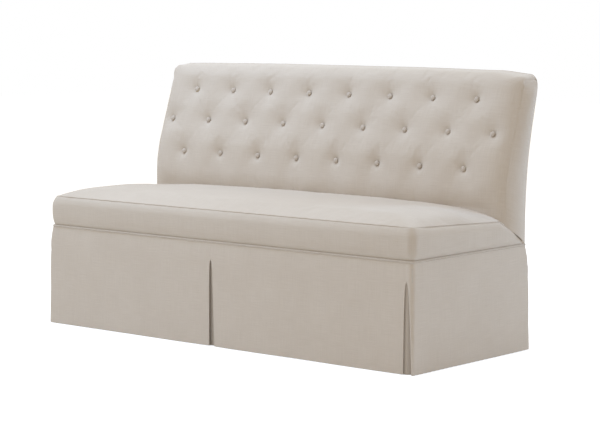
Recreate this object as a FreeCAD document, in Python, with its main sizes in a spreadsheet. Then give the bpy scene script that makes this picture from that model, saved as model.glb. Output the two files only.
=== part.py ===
import FreeCAD, Part
import math
import os
import Sketcher
from FreeCAD import Vector

# Skirted banquette bench: a hardwood frame on six hidden legs, a sprung and padded seat,
# a raked back with 25 covered buttons in a diamond layout, and a tailored kick-pleat skirt.
# Frame: X along the bench, -Y towards the sitter, +Z up; the origin is on the floor, under
# the middle of the bench's own box.

doc = FreeCAD.newDocument("banquette")

# Driving sizes in millimetres, angles in degrees
DRIVING = [
    ("bench_width", "1700"),
    ("bench_height", "965"),
    ("back_base_depth", "138.6"),
    ("rear_lean_run", "82.4"),
    ("rear_bend_rise", "54"),
    ("top_flat_depth", "53.8"),
    ("skirt_flare", "12"),
    ("skirt_shoulder_flare", "7"),
    ("hem_clearance", "6"),
    ("welt_radius", "3.5"),
    ("skirt_cloth", "1.6"),
    ("cover_thickness", "4"),
    ("soft_gap", "0.3"),
    ("seat_depth", "495"),
    ("seat_seam_height", "470"),
    ("seat_seam_drop", "16"),
    ("seat_crown_rise", "35"),
    ("boxing_height", "104"),
    ("seat_roll_depth", "46"),
    ("seat_end_roll", "60"),
    ("seat_slope_lead", "38"),
    ("seat_slope_radius", "495"),
    ("seat_slope_foot", "10"),
    ("back_bend_rise", "25"),
    ("top_roll_radius", "68"),
    ("end_roll_radius", "60"),
    ("quilt_depth", "22"),
    ("back_foam_thickness", "44"),
    ("top_foam_thickness", "9"),
    ("burlap_thickness", "1.2"),
    ("webbing_thickness", "1.8"),
    ("webbing_width", "60"),
    ("outside_back_thickness", "5"),
    ("button_radius", "11"),
    ("button_crown", "4"),
    ("button_edge", "3"),
    ("button_spacing", "189.4"),
    ("tuft_radius", "46"),
    ("tuft_depth", "15"),
    ("tie_width", "2.4"),
    ("toggle_length", "20"),
    ("toggle_width", "6"),
    ("toggle_thickness", "3"),
    ("rail_thickness", "32"),
    ("rail_height", "120"),
    ("rail_over_welt", "24"),
    ("cross_rail_height", "76"),
    ("bottom_rail_height", "32"),
    ("top_rail_height", "60"),
    ("post_thickness", "32"),
    ("pull_through_gap", "22"),
    ("block_leg", "90"),
    ("block_height", "45"),
    ("block_nose", "22"),
    ("leg_size", "52"),
    ("leg_foot_size", "40"),
    ("leg_inset", "3"),
    ("glide_radius", "13"),
    ("glide_height", "8"),
    ("leg_plate_thickness", "2.5"),
    ("spring_pitch", "56"),
    ("spring_half_width", "24"),
    ("spring_wire", "3.8"),
    ("spring_arch", "16"),
    ("spring_spacing", "200"),
    ("clip_width", "18"),
    ("clip_length", "26"),
    ("clip_thickness", "1.6"),
    ("pleat_return", "42"),
    ("pleat_stitch_drop", "66"),
    ("centre_pleat_opening", "11"),
    ("corner_pleat_opening", "35"),
    ("pleat_closed_gap", "0.5"),
    ("insert_width", "150"),
    ("strip_height", "16"),
    ("dust_cover_thickness", "1"),
    ("cut_overrun", "5"),
]


class Size:
    """A named size: its value, and the text that binds a property to the sheet's cells."""

    def __init__(self, text, value):
        self.text = text
        self.value = value

    def __add__(self, other):
        other = as_size(other)
        return Size(f"({self.text} + {other.text})", self.value + other.value)

    def __sub__(self, other):
        other = as_size(other)
        return Size(f"({self.text} - {other.text})", self.value - other.value)

    def __rsub__(self, other):
        return as_size(other) - self

    def __mul__(self, other):
        other = as_size(other)
        return Size(f"({self.text} * {other.text})", self.value * other.value)

    def __truediv__(self, other):
        other = as_size(other)
        return Size(f"({self.text} / {other.text})", self.value / other.value)

    def __neg__(self):
        return Size(f"(0 - {self.text})", -self.value)

    __radd__ = __add__
    __rmul__ = __mul__


def as_size(number):
    return number if isinstance(number, Size) else Size(repr(number), number)


def sine(angle):
    return Size(f"sin({angle.text} * 1 deg)", math.sin(math.radians(angle.value)))


def cosine(angle):
    return Size(f"cos({angle.text} * 1 deg)", math.cos(math.radians(angle.value)))


def root(size):
    return Size(f"sqrt({size.text})", math.sqrt(size.value))


def angle_of_sine(share):
    return Size(f"(asin({share.text}) / 1 deg)", math.degrees(math.asin(share.value)))


def angle_of_slope(rise, run):
    return Size(f"(atan2({rise.text}; {run.text}) / 1 deg)",
                math.degrees(math.atan2(rise.value, run.value)))


def fill_sheet():
    sheet = doc.addObject("Spreadsheet::Sheet", "Sizes")
    sizes = {}
    for row, (alias, number) in enumerate(DRIVING, start=1):
        sheet.set(f"A{row}", alias)
        sheet.set(f"B{row}", number)
        sheet.setAlias(f"B{row}", alias)
    doc.recompute()
    for alias, number in DRIVING:
        sizes[alias] = Size(f"Sizes.{alias}", float(sheet.get(alias)))
    return sizes


class Named:
    """The sheet's sizes by name."""

    def __init__(self, sizes):
        self.__dict__.update(sizes)


S = Named(fill_sheet())
gap = S.soft_gap

# How near an edge lies to a plane or a face to be taken as part of it
slack = 0.01
soft_slack = 1

# Heights of the seat, and of what is set out from its seam
welt_height = S.seat_seam_height - S.boxing_height
seat_crown_height = S.seat_seam_height + S.seat_crown_rise
back_bend_height = seat_crown_height + S.back_bend_rise
rear_bend_height = welt_height + S.rear_bend_rise
rail_top = welt_height + S.rail_over_welt
rail_bottom = rail_top - S.rail_height
pleat_stitch_height = welt_height - S.pleat_stitch_drop

# Planes of the upholstered box
bench_depth = S.skirt_flare + S.seat_depth + S.back_base_depth + S.rear_lean_run
front_hem = -(bench_depth / 2)
hem_x = S.bench_width / 2
box_x = hem_x - S.skirt_flare
box_front = front_hem + S.skirt_flare
back_front = box_front + S.seat_depth
rear_face = back_front + S.back_base_depth
seat_slope_start = back_front - S.seat_slope_lead
frame_inset = S.cover_thickness + gap
frame_x = box_x - frame_inset
frame_front = box_front + frame_inset

# Layers of the back, measured in from its front face
foam_front = S.quilt_depth + gap
foam_rear = foam_front + S.back_foam_thickness
burlap_front = foam_rear + gap
burlap_rear = burlap_front + S.burlap_thickness
webbing_front = burlap_rear + gap
webbing_rear = webbing_front + S.webbing_thickness
post_front = webbing_rear + gap
frame_top_inset = foam_front + S.top_foam_thickness + gap
post_rear = S.outside_back_thickness + gap

# The rear face leans back on one arc, which ends in the top rear edge of the bench's box
rear_rise = S.bench_height - rear_bend_height
rear_radius = (rear_rise * rear_rise + S.rear_lean_run * S.rear_lean_run) / (2 * S.rear_lean_run)
slope_foot_height = welt_height + S.seat_slope_foot
low_edge = rail_top + S.pull_through_gap

# The front face: one arc, then the straight line that touches both the arc and the top roll
front_bend_share = 0.442
front_rise = S.bench_height - back_bend_height
top_run = S.back_base_depth + S.rear_lean_run - S.top_flat_depth
front_bend_radius = front_bend_share * front_rise * front_rise / top_run
centre_run = front_bend_radius - top_run
centre_rise = front_rise - S.top_roll_radius
centre_distance = root(centre_run * centre_run + centre_rise * centre_rise)
front_rake = (angle_of_sine((front_bend_radius - S.top_roll_radius) / centre_distance)
              - angle_of_slope(centre_run, centre_rise))


def bind(item, name, size):
    item.setExpression(name, as_size(size).text)


def finish_item(item, label):
    item.Label = label
    return item


def box(label, corner, spans):
    item = doc.addObject("Part::Box", label)
    for name, size in zip(("Length", "Width", "Height"), spans):
        bind(item, name, size)
    for name, size in zip("xyz", corner):
        bind(item, f"Placement.Base.{name}", size)
    return finish_item(item, label)


def round_foot(name, radius, height, corner):
    # A short round piece, with as many flats as its small size needs
    item = doc.addObject("Part::Prism", name)
    item.Polygon = 16
    bind(item, "Circumradius", radius)
    bind(item, "Height", height)
    for axis, size in zip("xyz", corner):
        bind(item, f"Placement.Base.{axis}", size)
    return item


def group(label, members):
    item = doc.addObject("Part::Compound", label)
    item.Links = members
    return finish_item(item, label)


def shaped(label, shape):
    item = doc.addObject("Part::Feature", label)
    item.Shape = shape
    item.Placement = FreeCAD.Placement()
    return finish_item(item, label)


def plane_of(body, role):
    for feature in body.Origin.OriginFeatures:
        if feature.Role == role:
            return feature


def arc_centre(start, end, radius, turn):
    # The centre lies to the left of the way from start to end where turn is 1
    chord = end - start
    side = Vector(-chord.y, chord.x, 0) * (turn / chord.Length)
    return (start + end) * 0.5 + side * math.sqrt(radius * radius - chord.Length ** 2 / 4)


def outline_sketch(body, role, points, arcs=None, offset=None):
    # points are pairs of sizes; arcs gives (radius, turn) for the side that starts at a point
    arcs = arcs or {}
    sketch = body.newObject("Sketcher::SketchObject", body.Name + "_outline")
    sketch.AttachmentSupport = (plane_of(body, role), "")
    sketch.MapMode = "FlatFace"
    if offset is not None:
        bind(sketch, "AttachmentOffset.Base.z", offset)
    places = [Vector(as_size(p[0]).value, as_size(p[1]).value, 0) for p in points]
    count = len(places)
    heads = []
    for i, start in enumerate(places):
        end = places[(i + 1) % count]
        if i not in arcs:
            sketch.addGeometry(Part.LineSegment(start, end), False)
            heads.append((1, 2))
            continue
        radius, turn = arcs[i]
        centre = arc_centre(start, end, radius.value, turn)
        first, last = (start, end) if turn > 0 else (end, start)
        angle_first = math.atan2(first.y - centre.y, first.x - centre.x)
        angle_last = math.atan2(last.y - centre.y, last.x - centre.x)
        if angle_last < angle_first:
            angle_last += 2 * math.pi
        circle = Part.Circle(centre, Vector(0, 0, 1), radius.value)
        sketch.addGeometry(Part.ArcOfCircle(circle, angle_first, angle_last), False)
        heads.append((1, 2) if turn > 0 else (2, 1))
    for i in range(count):
        after = (i + 1) % count
        sketch.addConstraint(Sketcher.Constraint("Coincident", i, heads[i][1], after, heads[after][0]))
    for i, point in enumerate(points):
        for kind, size in zip(("DistanceX", "DistanceY"), point):
            size = as_size(size)
            held = Sketcher.Constraint(kind, -1, 1, i, heads[i][0], size.value)
            name = f"point_{i}_{kind[-1].lower()}"
            sketch.renameConstraint(sketch.addConstraint(held), name)
            bind(sketch, "Constraints." + name, size)
    for i, (radius, turn) in arcs.items():
        name = f"radius_{i}"
        sketch.renameConstraint(sketch.addConstraint(Sketcher.Constraint("Radius", i, radius.value)), name)
        bind(sketch, "Constraints." + name, radius)
    return sketch


def padded_outline(label, role, points, length, arcs=None, offset=None, midplane=False):
    body = doc.addObject("PartDesign::Body", label)
    sketch = outline_sketch(body, role, points, arcs, offset)
    pad = body.newObject("PartDesign::Pad", label + "_pad")
    pad.Profile = sketch
    bind(pad, "Length", length)
    if midplane:
        pad.SideType = "Symmetric"
    return finish_item(body, label)


# Side profile of the back, in the YZ plane


def bend_points(inset):
    # The front face of a layer: vertical up to the bend, then one arc, then straight at the rake
    radius = front_bend_radius - inset
    foot = (back_front + inset, back_bend_height)
    head_y = back_front + front_bend_radius - radius * cosine(front_rake)
    head = (head_y, back_bend_height + radius * sine(front_rake))
    return foot, head, radius


def raked_y(inset, height):
    foot, head, radius = bend_points(inset)
    return head[0] + (height - head[1]) * sine(front_rake) / cosine(front_rake)


def bent_y(inset, height):
    radius = front_bend_radius - inset
    rise = height - back_bend_height
    return back_front + front_bend_radius - root(radius * radius - rise * rise)


def rear_y(inset, height):
    radius = rear_radius + inset
    rise = height - rear_bend_height
    return rear_face + rear_radius - root(radius * radius - rise * rise)


def post_outline(low, high):
    foot, head, radius = bend_points(post_front)
    points = [
        (back_front + post_front, low),
        foot,
        head,
        (raked_y(post_front, high), high),
        (rear_y(post_rear, high), high),
        (rear_face - post_rear, rear_bend_height),
        (rear_face - post_rear, low),
    ]
    return points, {1: (radius, -1), 4: (rear_radius + post_rear, 1)}


def layer_outline(front, rear, low, high):
    foot, head, radius = bend_points(front)
    inner_foot, inner_head, inner_radius = bend_points(rear)
    points = [
        (back_front + front, low),
        foot,
        head,
        (raked_y(front, high), high),
        (raked_y(rear, high), high),
        inner_head,
        inner_foot,
        (back_front + rear, low),
    ]
    return points, {1: (radius, -1), 5: (inner_radius, 1)}


def wire_of(points, arcs=None):
    # A closed wire in the YZ plane from sizes, with the same arcs as a sketch
    arcs = arcs or {}
    places = [Vector(as_size(p[0]).value, as_size(p[1]).value, 0) for p in points]
    edges = []
    for i, start in enumerate(places):
        end = places[(i + 1) % len(places)]
        a = Vector(0, start.x, start.y)
        b = Vector(0, end.x, end.y)
        if i not in arcs:
            edges.append(Part.LineSegment(a, b).toShape())
            continue
        radius, turn = arcs[i]
        centre = arc_centre(start, end, radius.value, turn)
        middle = (start + end) * 0.5 - centre
        middle = centre + middle * (radius.value / middle.Length)
        edges.append(Part.Arc(a, Vector(0, middle.x, middle.y), b).toShape())
    return Part.Wire(edges)


def extruded(points, arcs, half_length):
    shape = Part.Face(wire_of(points, arcs)).extrude(Vector(2 * half_length.value, 0, 0))
    shape.translate(Vector(-half_length.value, 0, 0))
    return shape


def back_form(front, top, rear, half_length, end_roll, low):
    # The padded form of the back, or a layer of it, with its rolled top and rolled ends
    foot, head, radius = bend_points(front)
    roll = S.top_roll_radius - front
    high = S.bench_height - top
    roll_foot_z = high - roll * (1 - sine(front_rake))
    roll_foot = (raked_y(front, roll_foot_z), roll_foot_z)
    roll_head = (roll_foot[0] + roll * cosine(front_rake), high)
    points = [
        (back_front + front, low),
        foot,
        head,
        roll_foot,
        roll_head,
        (rear_y(rear, high), high),
        (rear_face - rear, rear_bend_height),
        (rear_face - rear, low),
    ]
    arcs = {1: (radius, -1), 3: (roll, -1), 5: (rear_radius + rear, 1)}
    solid = extruded(points, arcs, half_length)
    rolled = []
    reach = half_length.value
    for edge in solid.Edges:
        bounds = edge.BoundBox
        flat = bounds.XLength < slack and abs(abs(bounds.XMin) - reach) < slack
        middle = edge.valueAt((edge.FirstParameter + edge.LastParameter) / 2)
        on_rear = middle.y > rear_y(rear, as_size(max(middle.z, rear_bend_height.value))).value - soft_slack
        at_foot = bounds.ZMax < low.value + slack
        if flat and not on_rear and not at_foot:
            rolled.append(edge)
        elif flat and bounds.ZMin > high.value - slack and bounds.ZLength < slack:
            rolled.append(edge)
    return solid.makeFillet(end_roll.value, rolled)


# Frame of hardwood rails, posts and blocks

# The middle posts stand midway between two columns of buttons
middle_post_share = 1.25
cross_rail_shares = (("left", -0.25), ("centre", 0), ("right", 0.25))


def build_frame():
    rail_height = rail_top - rail_bottom
    inner_front = frame_front + S.rail_thickness
    post_face = back_front + post_front
    post_inner = frame_x - S.post_thickness
    rear_outer = rear_face - post_rear
    rear_inner = rear_outer - S.rail_thickness
    items = []
    items.append(box("front_rail", (-frame_x, frame_front, rail_bottom),
                     (2 * frame_x, S.rail_thickness, rail_height)))
    items.append(box("rear_rail", (-post_inner, rear_inner, rail_bottom),
                     (2 * post_inner, S.rail_thickness, rail_height)))
    side_length = post_face - inner_front
    items.append(box("left_side_rail", (-frame_x, inner_front, rail_bottom),
                     (S.rail_thickness, side_length, rail_height)))
    items.append(box("right_side_rail", (frame_x - S.rail_thickness, inner_front, rail_bottom),
                     (S.rail_thickness, side_length, rail_height)))
    cross_length = rear_inner - inner_front
    for name, share in cross_rail_shares:
        middle = S.bench_width * share
        items.append(box(name + "_cross_rail",
                         (middle - S.rail_thickness / 2, inner_front, rail_bottom),
                         (S.rail_thickness, cross_length, S.cross_rail_height)))
    top_rail_low = S.bench_height - frame_top_inset - S.top_rail_height
    points, arcs = post_outline(rail_bottom, top_rail_low)
    for name, start in (("left_end_post", -frame_x), ("right_end_post", post_inner)):
        items.append(padded_outline(name, "YZ_Plane", points, S.post_thickness, arcs, start))
    bottom_rail_top = low_edge + S.bottom_rail_height
    points, arcs = post_outline(bottom_rail_top, top_rail_low)
    half_post = S.post_thickness / 2
    for name, side in (("left_middle_post", -1), ("right_middle_post", 1)):
        start = side * middle_post_share * S.button_spacing - half_post
        items.append(padded_outline(name, "YZ_Plane", points, S.post_thickness, arcs, start))
    items.append(box("back_bottom_rail", (-post_inner, post_face, low_edge),
                     (2 * post_inner, rear_outer - post_face, S.bottom_rail_height)))
    items.append(build_top_rail(top_rail_low))
    items.append(build_corner_blocks(inner_front))
    return items


def build_top_rail(low):
    high = S.bench_height - frame_top_inset
    points = [
        (raked_y(post_front, low), low),
        (raked_y(post_front, high), high),
        (rear_y(post_rear, high), high),
        (rear_y(post_rear, low), low),
    ]
    blank = padded_outline("top_rail_blank", "YZ_Plane", points, 2 * frame_x,
                           {2: (rear_radius + post_rear, 1)}, midplane=True)
    return round_shouldered("back_top_rail", blank, frame_x, low, high,
                            S.end_roll_radius - S.quilt_depth)


def round_shouldered(label, blank, reach, low, high, radius):
    # A piece along the bench whose two top corners are round as seen from the front
    outline = [
        (-reach, low),
        (reach, low),
        (reach, high - radius),
        (reach - radius, high),
        (radius - reach, high),
        (-reach, high - radius),
    ]
    front_view = padded_outline(label + "_outline", "XZ_Plane", outline, 2 * bench_depth,
                                {2: (radius, 1), 4: (radius, 1)}, midplane=True)
    item = doc.addObject("Part::Common", label)
    item.Base = blank
    item.Tool = front_view
    return finish_item(item, label)


def build_corner_blocks(inner_front):
    blocks = []
    leg = S.block_leg
    nose = S.block_nose
    for name, side in (("front_left", -1), ("front_right", 1)):
        corner_x = side * (frame_x - S.rail_thickness)
        points = [
            (corner_x, inner_front),
            (corner_x, inner_front + leg),
            (corner_x - side * nose, inner_front + leg),
            (corner_x - side * leg, inner_front + nose),
            (corner_x - side * leg, inner_front),
        ]
        blocks.append(padded_outline(name + "_block", "XY_Plane", points, S.block_height,
                                     offset=rail_bottom))
    rear_inner = rear_face - post_rear - S.rail_thickness
    for name, side in (("rear_left", -1), ("rear_right", 1)):
        corner_x = side * (frame_x - S.post_thickness)
        points = [
            (corner_x, rear_inner),
            (corner_x, rear_inner - leg / 2),
            (corner_x - side * nose, rear_inner - leg / 2),
            (corner_x - side * leg, rear_inner - nose),
            (corner_x - side * leg, rear_inner),
        ]
        blocks.append(padded_outline(name + "_block", "XY_Plane", points, S.block_height,
                                     offset=rail_bottom))
    return group("corner_blocks", blocks)


# Six tapered legs under the frame, each with a top plate and a nail-on glide


def leg_places():
    near_x = frame_x - S.leg_inset - S.leg_size / 2
    front_y = frame_front + S.leg_inset + S.leg_size / 2
    rear_y_leg = rear_face - post_rear - S.leg_inset - S.leg_size / 2
    return [
        ("front_left_leg", -near_x, front_y),
        ("front_centre_leg", as_size(0) * near_x, front_y),
        ("front_right_leg", near_x, front_y),
        ("rear_left_leg", -near_x, rear_y_leg),
        ("rear_centre_leg", as_size(0) * near_x, rear_y_leg),
        ("rear_right_leg", near_x, rear_y_leg),
    ]


def tapered_leg(name, x, y, head):
    # A wedge's own axis is Y, so it is turned to stand on its small end
    leg = doc.addObject("Part::Wedge", name)
    foot = S.leg_foot_size / 2
    top = S.leg_size / 2
    for axis in "XZ":
        bind(leg, axis + "min", -foot)
        bind(leg, axis + "max", foot)
        bind(leg, axis + "2min", -top)
        bind(leg, axis + "2max", top)
    bind(leg, "Ymin", as_size(0))
    bind(leg, "Ymax", head - S.glide_height)
    leg.Placement = FreeCAD.Placement(Vector(), FreeCAD.Rotation(Vector(1, 0, 0), 90))
    for axis, size in zip("xyz", (x, y, S.glide_height)):
        bind(leg, f"Placement.Base.{axis}", size)
    return finish_item(leg, name)


def build_legs():
    items = []
    glides = []
    plates = []
    half = S.leg_size / 2
    head = rail_bottom - S.leg_plate_thickness
    for name, x, y in leg_places():
        items.append(tapered_leg(name, x, y, head))
        plates.append(box(name + "_plate", (x - half, y - half, head),
                          (S.leg_size, S.leg_size, S.leg_plate_thickness)))
        glides.append(round_foot(name + "_glide", S.glide_radius, S.glide_height, (x, y, as_size(0))))
    items.append(group("leg_glides", glides))
    items.append(group("leg_plates", plates))
    return items


# Sinuous seat springs between the front and rear rails, with their clips

spring_facets = 6


def spring_span():
    return frame_front + S.rail_thickness / 2, rear_face - post_rear - S.rail_thickness / 2


def arch_line(start, end, low, rise, steps):
    # Points along a parabola that stands for the arch a spring takes
    points = []
    for i in range(steps + 1):
        share = i / steps
        points.append(Vector(0, start + (end - start) * share, low + 4 * rise * share * (1 - share)))
    return points


def spring_solid(x):
    # A flat zigzag band of wire, cut to the arch that the spring takes over the frame
    front, rear = (size.value for size in spring_span())
    wire = S.spring_wire.value
    reach = S.spring_half_width.value
    turns = int((rear - front) / S.spring_pitch.value)
    pitch = (rear - front) / turns
    nose = pitch / 4
    centre_line = [Vector(0, front, 0)]
    for i in range(turns):
        side = reach if i % 2 == 0 else -reach
        start = front + i * pitch
        centre_line.append(Vector(side, start + nose, 0))
        centre_line.append(Vector(side, start + pitch - nose, 0))
    centre_line.append(Vector(0, rear, 0))
    left = offset_line(centre_line, wire / 2)
    right = offset_line(centre_line, -wire / 2)
    plan = Part.Face(Part.makePolygon(left + right[::-1] + left[:1]))
    prism = plan.extrude(Vector(0, 0, 4 * S.spring_arch.value))
    prism.translate(Vector(0, 0, rail_top.value))
    low = (rail_top + S.clip_thickness + gap).value
    under = arch_line(front - wire, rear + wire, low, S.spring_arch.value, spring_facets)
    over = [point + Vector(0, 0, wire) for point in reversed(under)]
    width = S.cut_overrun.value + reach
    band = Part.Face(Part.makePolygon(under + over + under[:1])).extrude(Vector(2 * width, 0, 0))
    band.translate(Vector(-width, 0, 0))
    solid = prism.common(band).Solids[0]
    solid.translate(Vector(x, 0, 0))
    return solid


def offset_line(points, distance):
    # The mitred offset of an open line of straight runs
    result = []
    count = len(points)
    for i in range(count):
        before = points[i] - points[max(i - 1, 0)]
        after = points[min(i + 1, count - 1)] - points[i]
        before = before if before.Length else after
        after = after if after.Length else before
        a = Vector(-before.y, before.x, 0).normalize()
        b = Vector(-after.y, after.x, 0).normalize()
        mitre = (a + b).normalize()
        result.append(points[i] + mitre * (distance / mitre.dot(a)))
    return result


def build_springs():
    count = int((2 * frame_x.value - S.spring_spacing.value) / S.spring_spacing.value) + 1
    places = [(i - (count - 1) / 2) * S.spring_spacing.value for i in range(count)]
    springs = shaped("seat_springs", Part.Compound([spring_solid(x) for x in places]))
    front, rear = spring_span()
    clips = []
    for i in range(count):
        x = (i - (count - 1) / 2) * S.spring_spacing - S.clip_width / 2
        for end, y in (("front", front), ("rear", rear)):
            clips.append(box(f"spring_clip_{i}_{end}", (x, y - S.clip_length / 2, rail_top),
                             (S.clip_width, S.clip_length, S.clip_thickness)))
    return [springs, group("spring_clips", clips)]


# Seat pad: a crowned form lofted along the bench, split into foam, top panel and boxing

# The front roll passes a share of its depth and rise, and ends short of the full crown
roll_depth_share = 0.42
roll_rise_share = 0.72
roll_end_share = 0.94
crown_bulge_share = 0.05
# From an end seam inward: distance in end rolls, and the share of the crown reached there
seat_stations = ((0, 0.02), (0.3, 0.52), (0.75, 0.78), (1.6, 0.92), (4, 1), (9, 1))


def seat_section(x, crown_share, inset, low):
    # crown_share is 0 at the end seams and 1 over the middle of the seat
    lift = seat_crown_height.value - S.seat_seam_height.value
    front = box_front.value + inset
    seam = S.seat_seam_height.value - inset
    roll = S.seat_roll_depth.value
    crown = seam + lift * crown_share
    start = seat_slope_start.value
    drop = S.seat_seam_drop.value * (1 - crown_share)
    foot_y = rear_face.value - inset
    foot_z = slope_foot_height.value - inset
    belly = S.seat_seam_drop.value / 2
    rise = crown - seam

    def at(y, z):
        return Vector(x, y, z)

    seam_at = at(front, seam)
    roll_middle = at(front + roll * roll_depth_share, seam + rise * roll_rise_share)
    roll_end = at(front + roll, seam + rise * roll_end_share)
    top_middle = at((front + roll + start) / 2, crown + S.seat_seam_drop.value * crown_bulge_share)
    slope_at = at(start, crown - drop)
    slope_middle = at((start + foot_y) / 2, (crown - drop + foot_z) / 2 + belly)
    foot_at = at(foot_y, foot_z)
    return Part.Wire([
        Part.LineSegment(at(front, low), seam_at).toShape(),
        Part.Arc(seam_at, roll_middle, roll_end).toShape(),
        Part.Arc(roll_end, top_middle, slope_at).toShape(),
        Part.Arc(slope_at, slope_middle, foot_at).toShape(),
        Part.LineSegment(foot_at, at(foot_y, low)).toShape(),
        Part.LineSegment(at(foot_y, low), at(front, low)).toShape(),
    ])


def seat_form(inset, low):
    roll = S.seat_end_roll.value
    reach = box_x.value - inset
    ends = [seat_section(roll * rolls - reach, share, inset, low) for rolls, share in seat_stations]
    mirror = [seat_section(reach - roll * rolls, share, inset, low)
              for rolls, share in reversed(seat_stations)]
    return Part.makeLoft(ends + mirror, True, True)


def seam_outline(lift):
    # Everything under the line where the top panel is sewn to the boxing
    over = S.cut_overrun
    seam = S.seat_seam_height + lift
    points = [
        (box_front - over, welt_height - over),
        (box_front - over, seam),
        (box_front, seam),
        (seat_slope_start, seam - S.seat_seam_drop),
        (rear_face, slope_foot_height + lift),
        (rear_face + over, slope_foot_height + lift),
        (rear_face + over, welt_height - over),
    ]
    return points, {3: (S.seat_slope_radius, -1)}


def below_seam(reach, lift=0):
    return extruded(*seam_outline(lift), reach)


def seat_low():
    return welt_height + S.welt_radius + gap


def arch_region(low, wire_top):
    # The space under an arch over the springs, in the YZ plane, down to a flat floor
    front, rear = spring_span()
    start = front.value - S.spring_wire.value
    end = rear.value + S.spring_wire.value
    rise = wire_top.value + S.spring_arch.value
    face = Part.Face(Part.Wire([
        Part.Arc(Vector(0, start, wire_top.value), Vector(0, (start + end) / 2, rise),
                 Vector(0, end, wire_top.value)).toShape(),
        Part.LineSegment(Vector(0, end, wire_top.value), Vector(0, end, low.value)).toShape(),
        Part.LineSegment(Vector(0, end, low.value), Vector(0, start, low.value)).toShape(),
        Part.LineSegment(Vector(0, start, low.value), Vector(0, start, wire_top.value)).toShape(),
    ]))
    reach = (frame_x - S.rail_thickness - gap).value
    solid = face.extrude(Vector(2 * reach, 0, 0))
    solid.translate(Vector(-reach, 0, 0))
    return solid


def build_seat():
    low = seat_low()
    outer = seat_form(0, low.value)
    inner = seat_form(S.cover_thickness.value, (low - S.cut_overrun).value)
    shell = outer.cut(inner)
    # The seam lies just under the edge of the rolled top, on the upright face of the boxing
    zone = below_seam(hem_x, -gap)
    behind = back_form(-gap, -gap, -S.cut_overrun, box_x + gap, S.end_roll_radius + gap,
                       low - S.cut_overrun)
    top_panel = largest(shell.cut(zone).cut(behind))
    inner_x = (box_x - S.cover_thickness).value
    rear_strip = Part.makeBox(2 * inner_x, S.seat_depth.value, S.bench_height.value,
                              Vector(-inner_x, seat_slope_start.value, 0))
    rear_end = Part.makeBox(2 * hem_x.value, bench_depth.value, S.bench_height.value,
                            Vector(-hem_x.value, (rear_face - post_rear).value, 0))
    boxing = largest(shell.common(zone).cut(rear_strip).cut(rear_end))
    spring_top = rail_top + S.clip_thickness + S.spring_wire + gap * 2
    cover_top = spring_top + S.burlap_thickness
    spring_cover = arch_region(spring_top, cover_top).cut(arch_region(rail_top, spring_top))
    foam_low = rail_top + S.clip_thickness + gap
    foam = seat_form(frame_inset.value, foam_low.value)
    foam = largest(foam.cut(behind).cut(arch_region(rail_top, cover_top + gap)))
    return [
        shaped("seat_top_panel", top_panel),
        shaped("seat_boxing", boxing),
        shaped("spring_cover", largest(spring_cover)),
        shaped("seat_foam", foam),
    ]


def largest(shape):
    return max(shape.Solids, key=lambda solid: solid.Volume)


# Tufted inside back: three rows of covered buttons in a diamond layout


def row_face(height):
    # The front face's place and rake at a height
    foot, head, radius = bend_points(as_size(0))
    if height.value > head[1].value:
        return raked_y(as_size(0), height).value, math.radians(front_rake.value)
    rise = (height - back_bend_height).value
    return bent_y(as_size(0), height).value, math.asin(rise / front_bend_radius.value)


button_dome_shares = ((1, 0), (0.72, 0.62), (0.3, 1))
# Reach of a tuft across the pleats and along them, and its section from seat to brim
tuft_reach_shares = (0.9, 1.35)
tuft_shares = ((0, 1), (0.3, 0.46), (1, 0))
# Rows of buttons between the seat's crown and the top; every other row has one button more
button_row_shares = (0.776, 0.524, 0.2565)
long_columns = int(((2 * (box_x - S.end_roll_radius)) / S.button_spacing).value) + 1
button_rows = [
    (seat_crown_height + share * (S.bench_height - seat_crown_height), long_columns - (i + 1) % 2)
    for i, share in enumerate(button_row_shares)
]


def button_places():
    # Placements that turn +Z of a piece to the outward normal of the back at each button
    places = []
    for height, columns in button_rows:
        face_y, rake = row_face(height)
        tilt = FreeCAD.Rotation(Vector(1, 0, 0), 90 - math.degrees(rake))
        for i in range(columns):
            x = (i - (columns - 1) / 2) * S.button_spacing.value
            places.append(FreeCAD.Placement(Vector(x, face_y, height.value), tilt))
    return places


def at_buttons(shape):
    copies = []
    for place in button_places():
        copy = shape.copy()
        copy.Placement = place
        copies.append(copy)
    return Part.Compound(copies)


def faceted(rings, closed=False):
    # A closed solid of plane faces through rings with the same number of points
    faces = []
    for low, high in zip(rings, rings[1:] + rings[:1] if closed else rings[1:]):
        count = len(low)
        for i in range(count):
            after = (i + 1) % count
            for corners in ((low[i], low[after], high[after]), (low[i], high[after], high[i])):
                faces.append(Part.Face(Part.makePolygon([*corners, corners[0]])))
    for ring in () if closed else (rings[0][::-1], rings[-1]):
        faces.append(Part.Face(Part.makePolygon(ring + ring[:1])))
    solid = Part.Solid(Part.Shell(faces)).removeSplitter()
    if solid.Volume < 0:
        solid.reverse()
    return solid


def ring_points(radius, height, sides):
    turns = [2 * math.pi * i / sides for i in range(sides)]
    return [Vector(radius * math.cos(turn), radius * math.sin(turn), height) for turn in turns]


def tuft_tool():
    # A funnel from the button's seat to the face of the back, drawn out along the four
    # pleats that run to the next buttons
    depth = S.tuft_depth.value
    wide = S.tuft_radius.value
    seat = (S.button_radius + gap).value / math.cos(math.pi / 8)
    rise = (button_rows[0][0] - button_rows[1][0]) / cosine(front_rake)
    pleat = math.atan2(rise.value, S.button_spacing.value / 2)
    quarters = [0, pleat, math.pi / 2, math.pi - pleat]
    turns = quarters + [turn + math.pi for turn in quarters]

    def ring(share, height):
        points = []
        for i, turn in enumerate(turns):
            reach = seat + (wide * tuft_reach_shares[i % 2] - seat) * share
            points.append(Vector(reach * math.cos(turn), reach * math.sin(turn), height))
        return points

    return faceted([ring(share, -depth * depth_share) for share, depth_share in tuft_shares]
                   + [ring(1, S.cut_overrun.value)])


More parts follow.
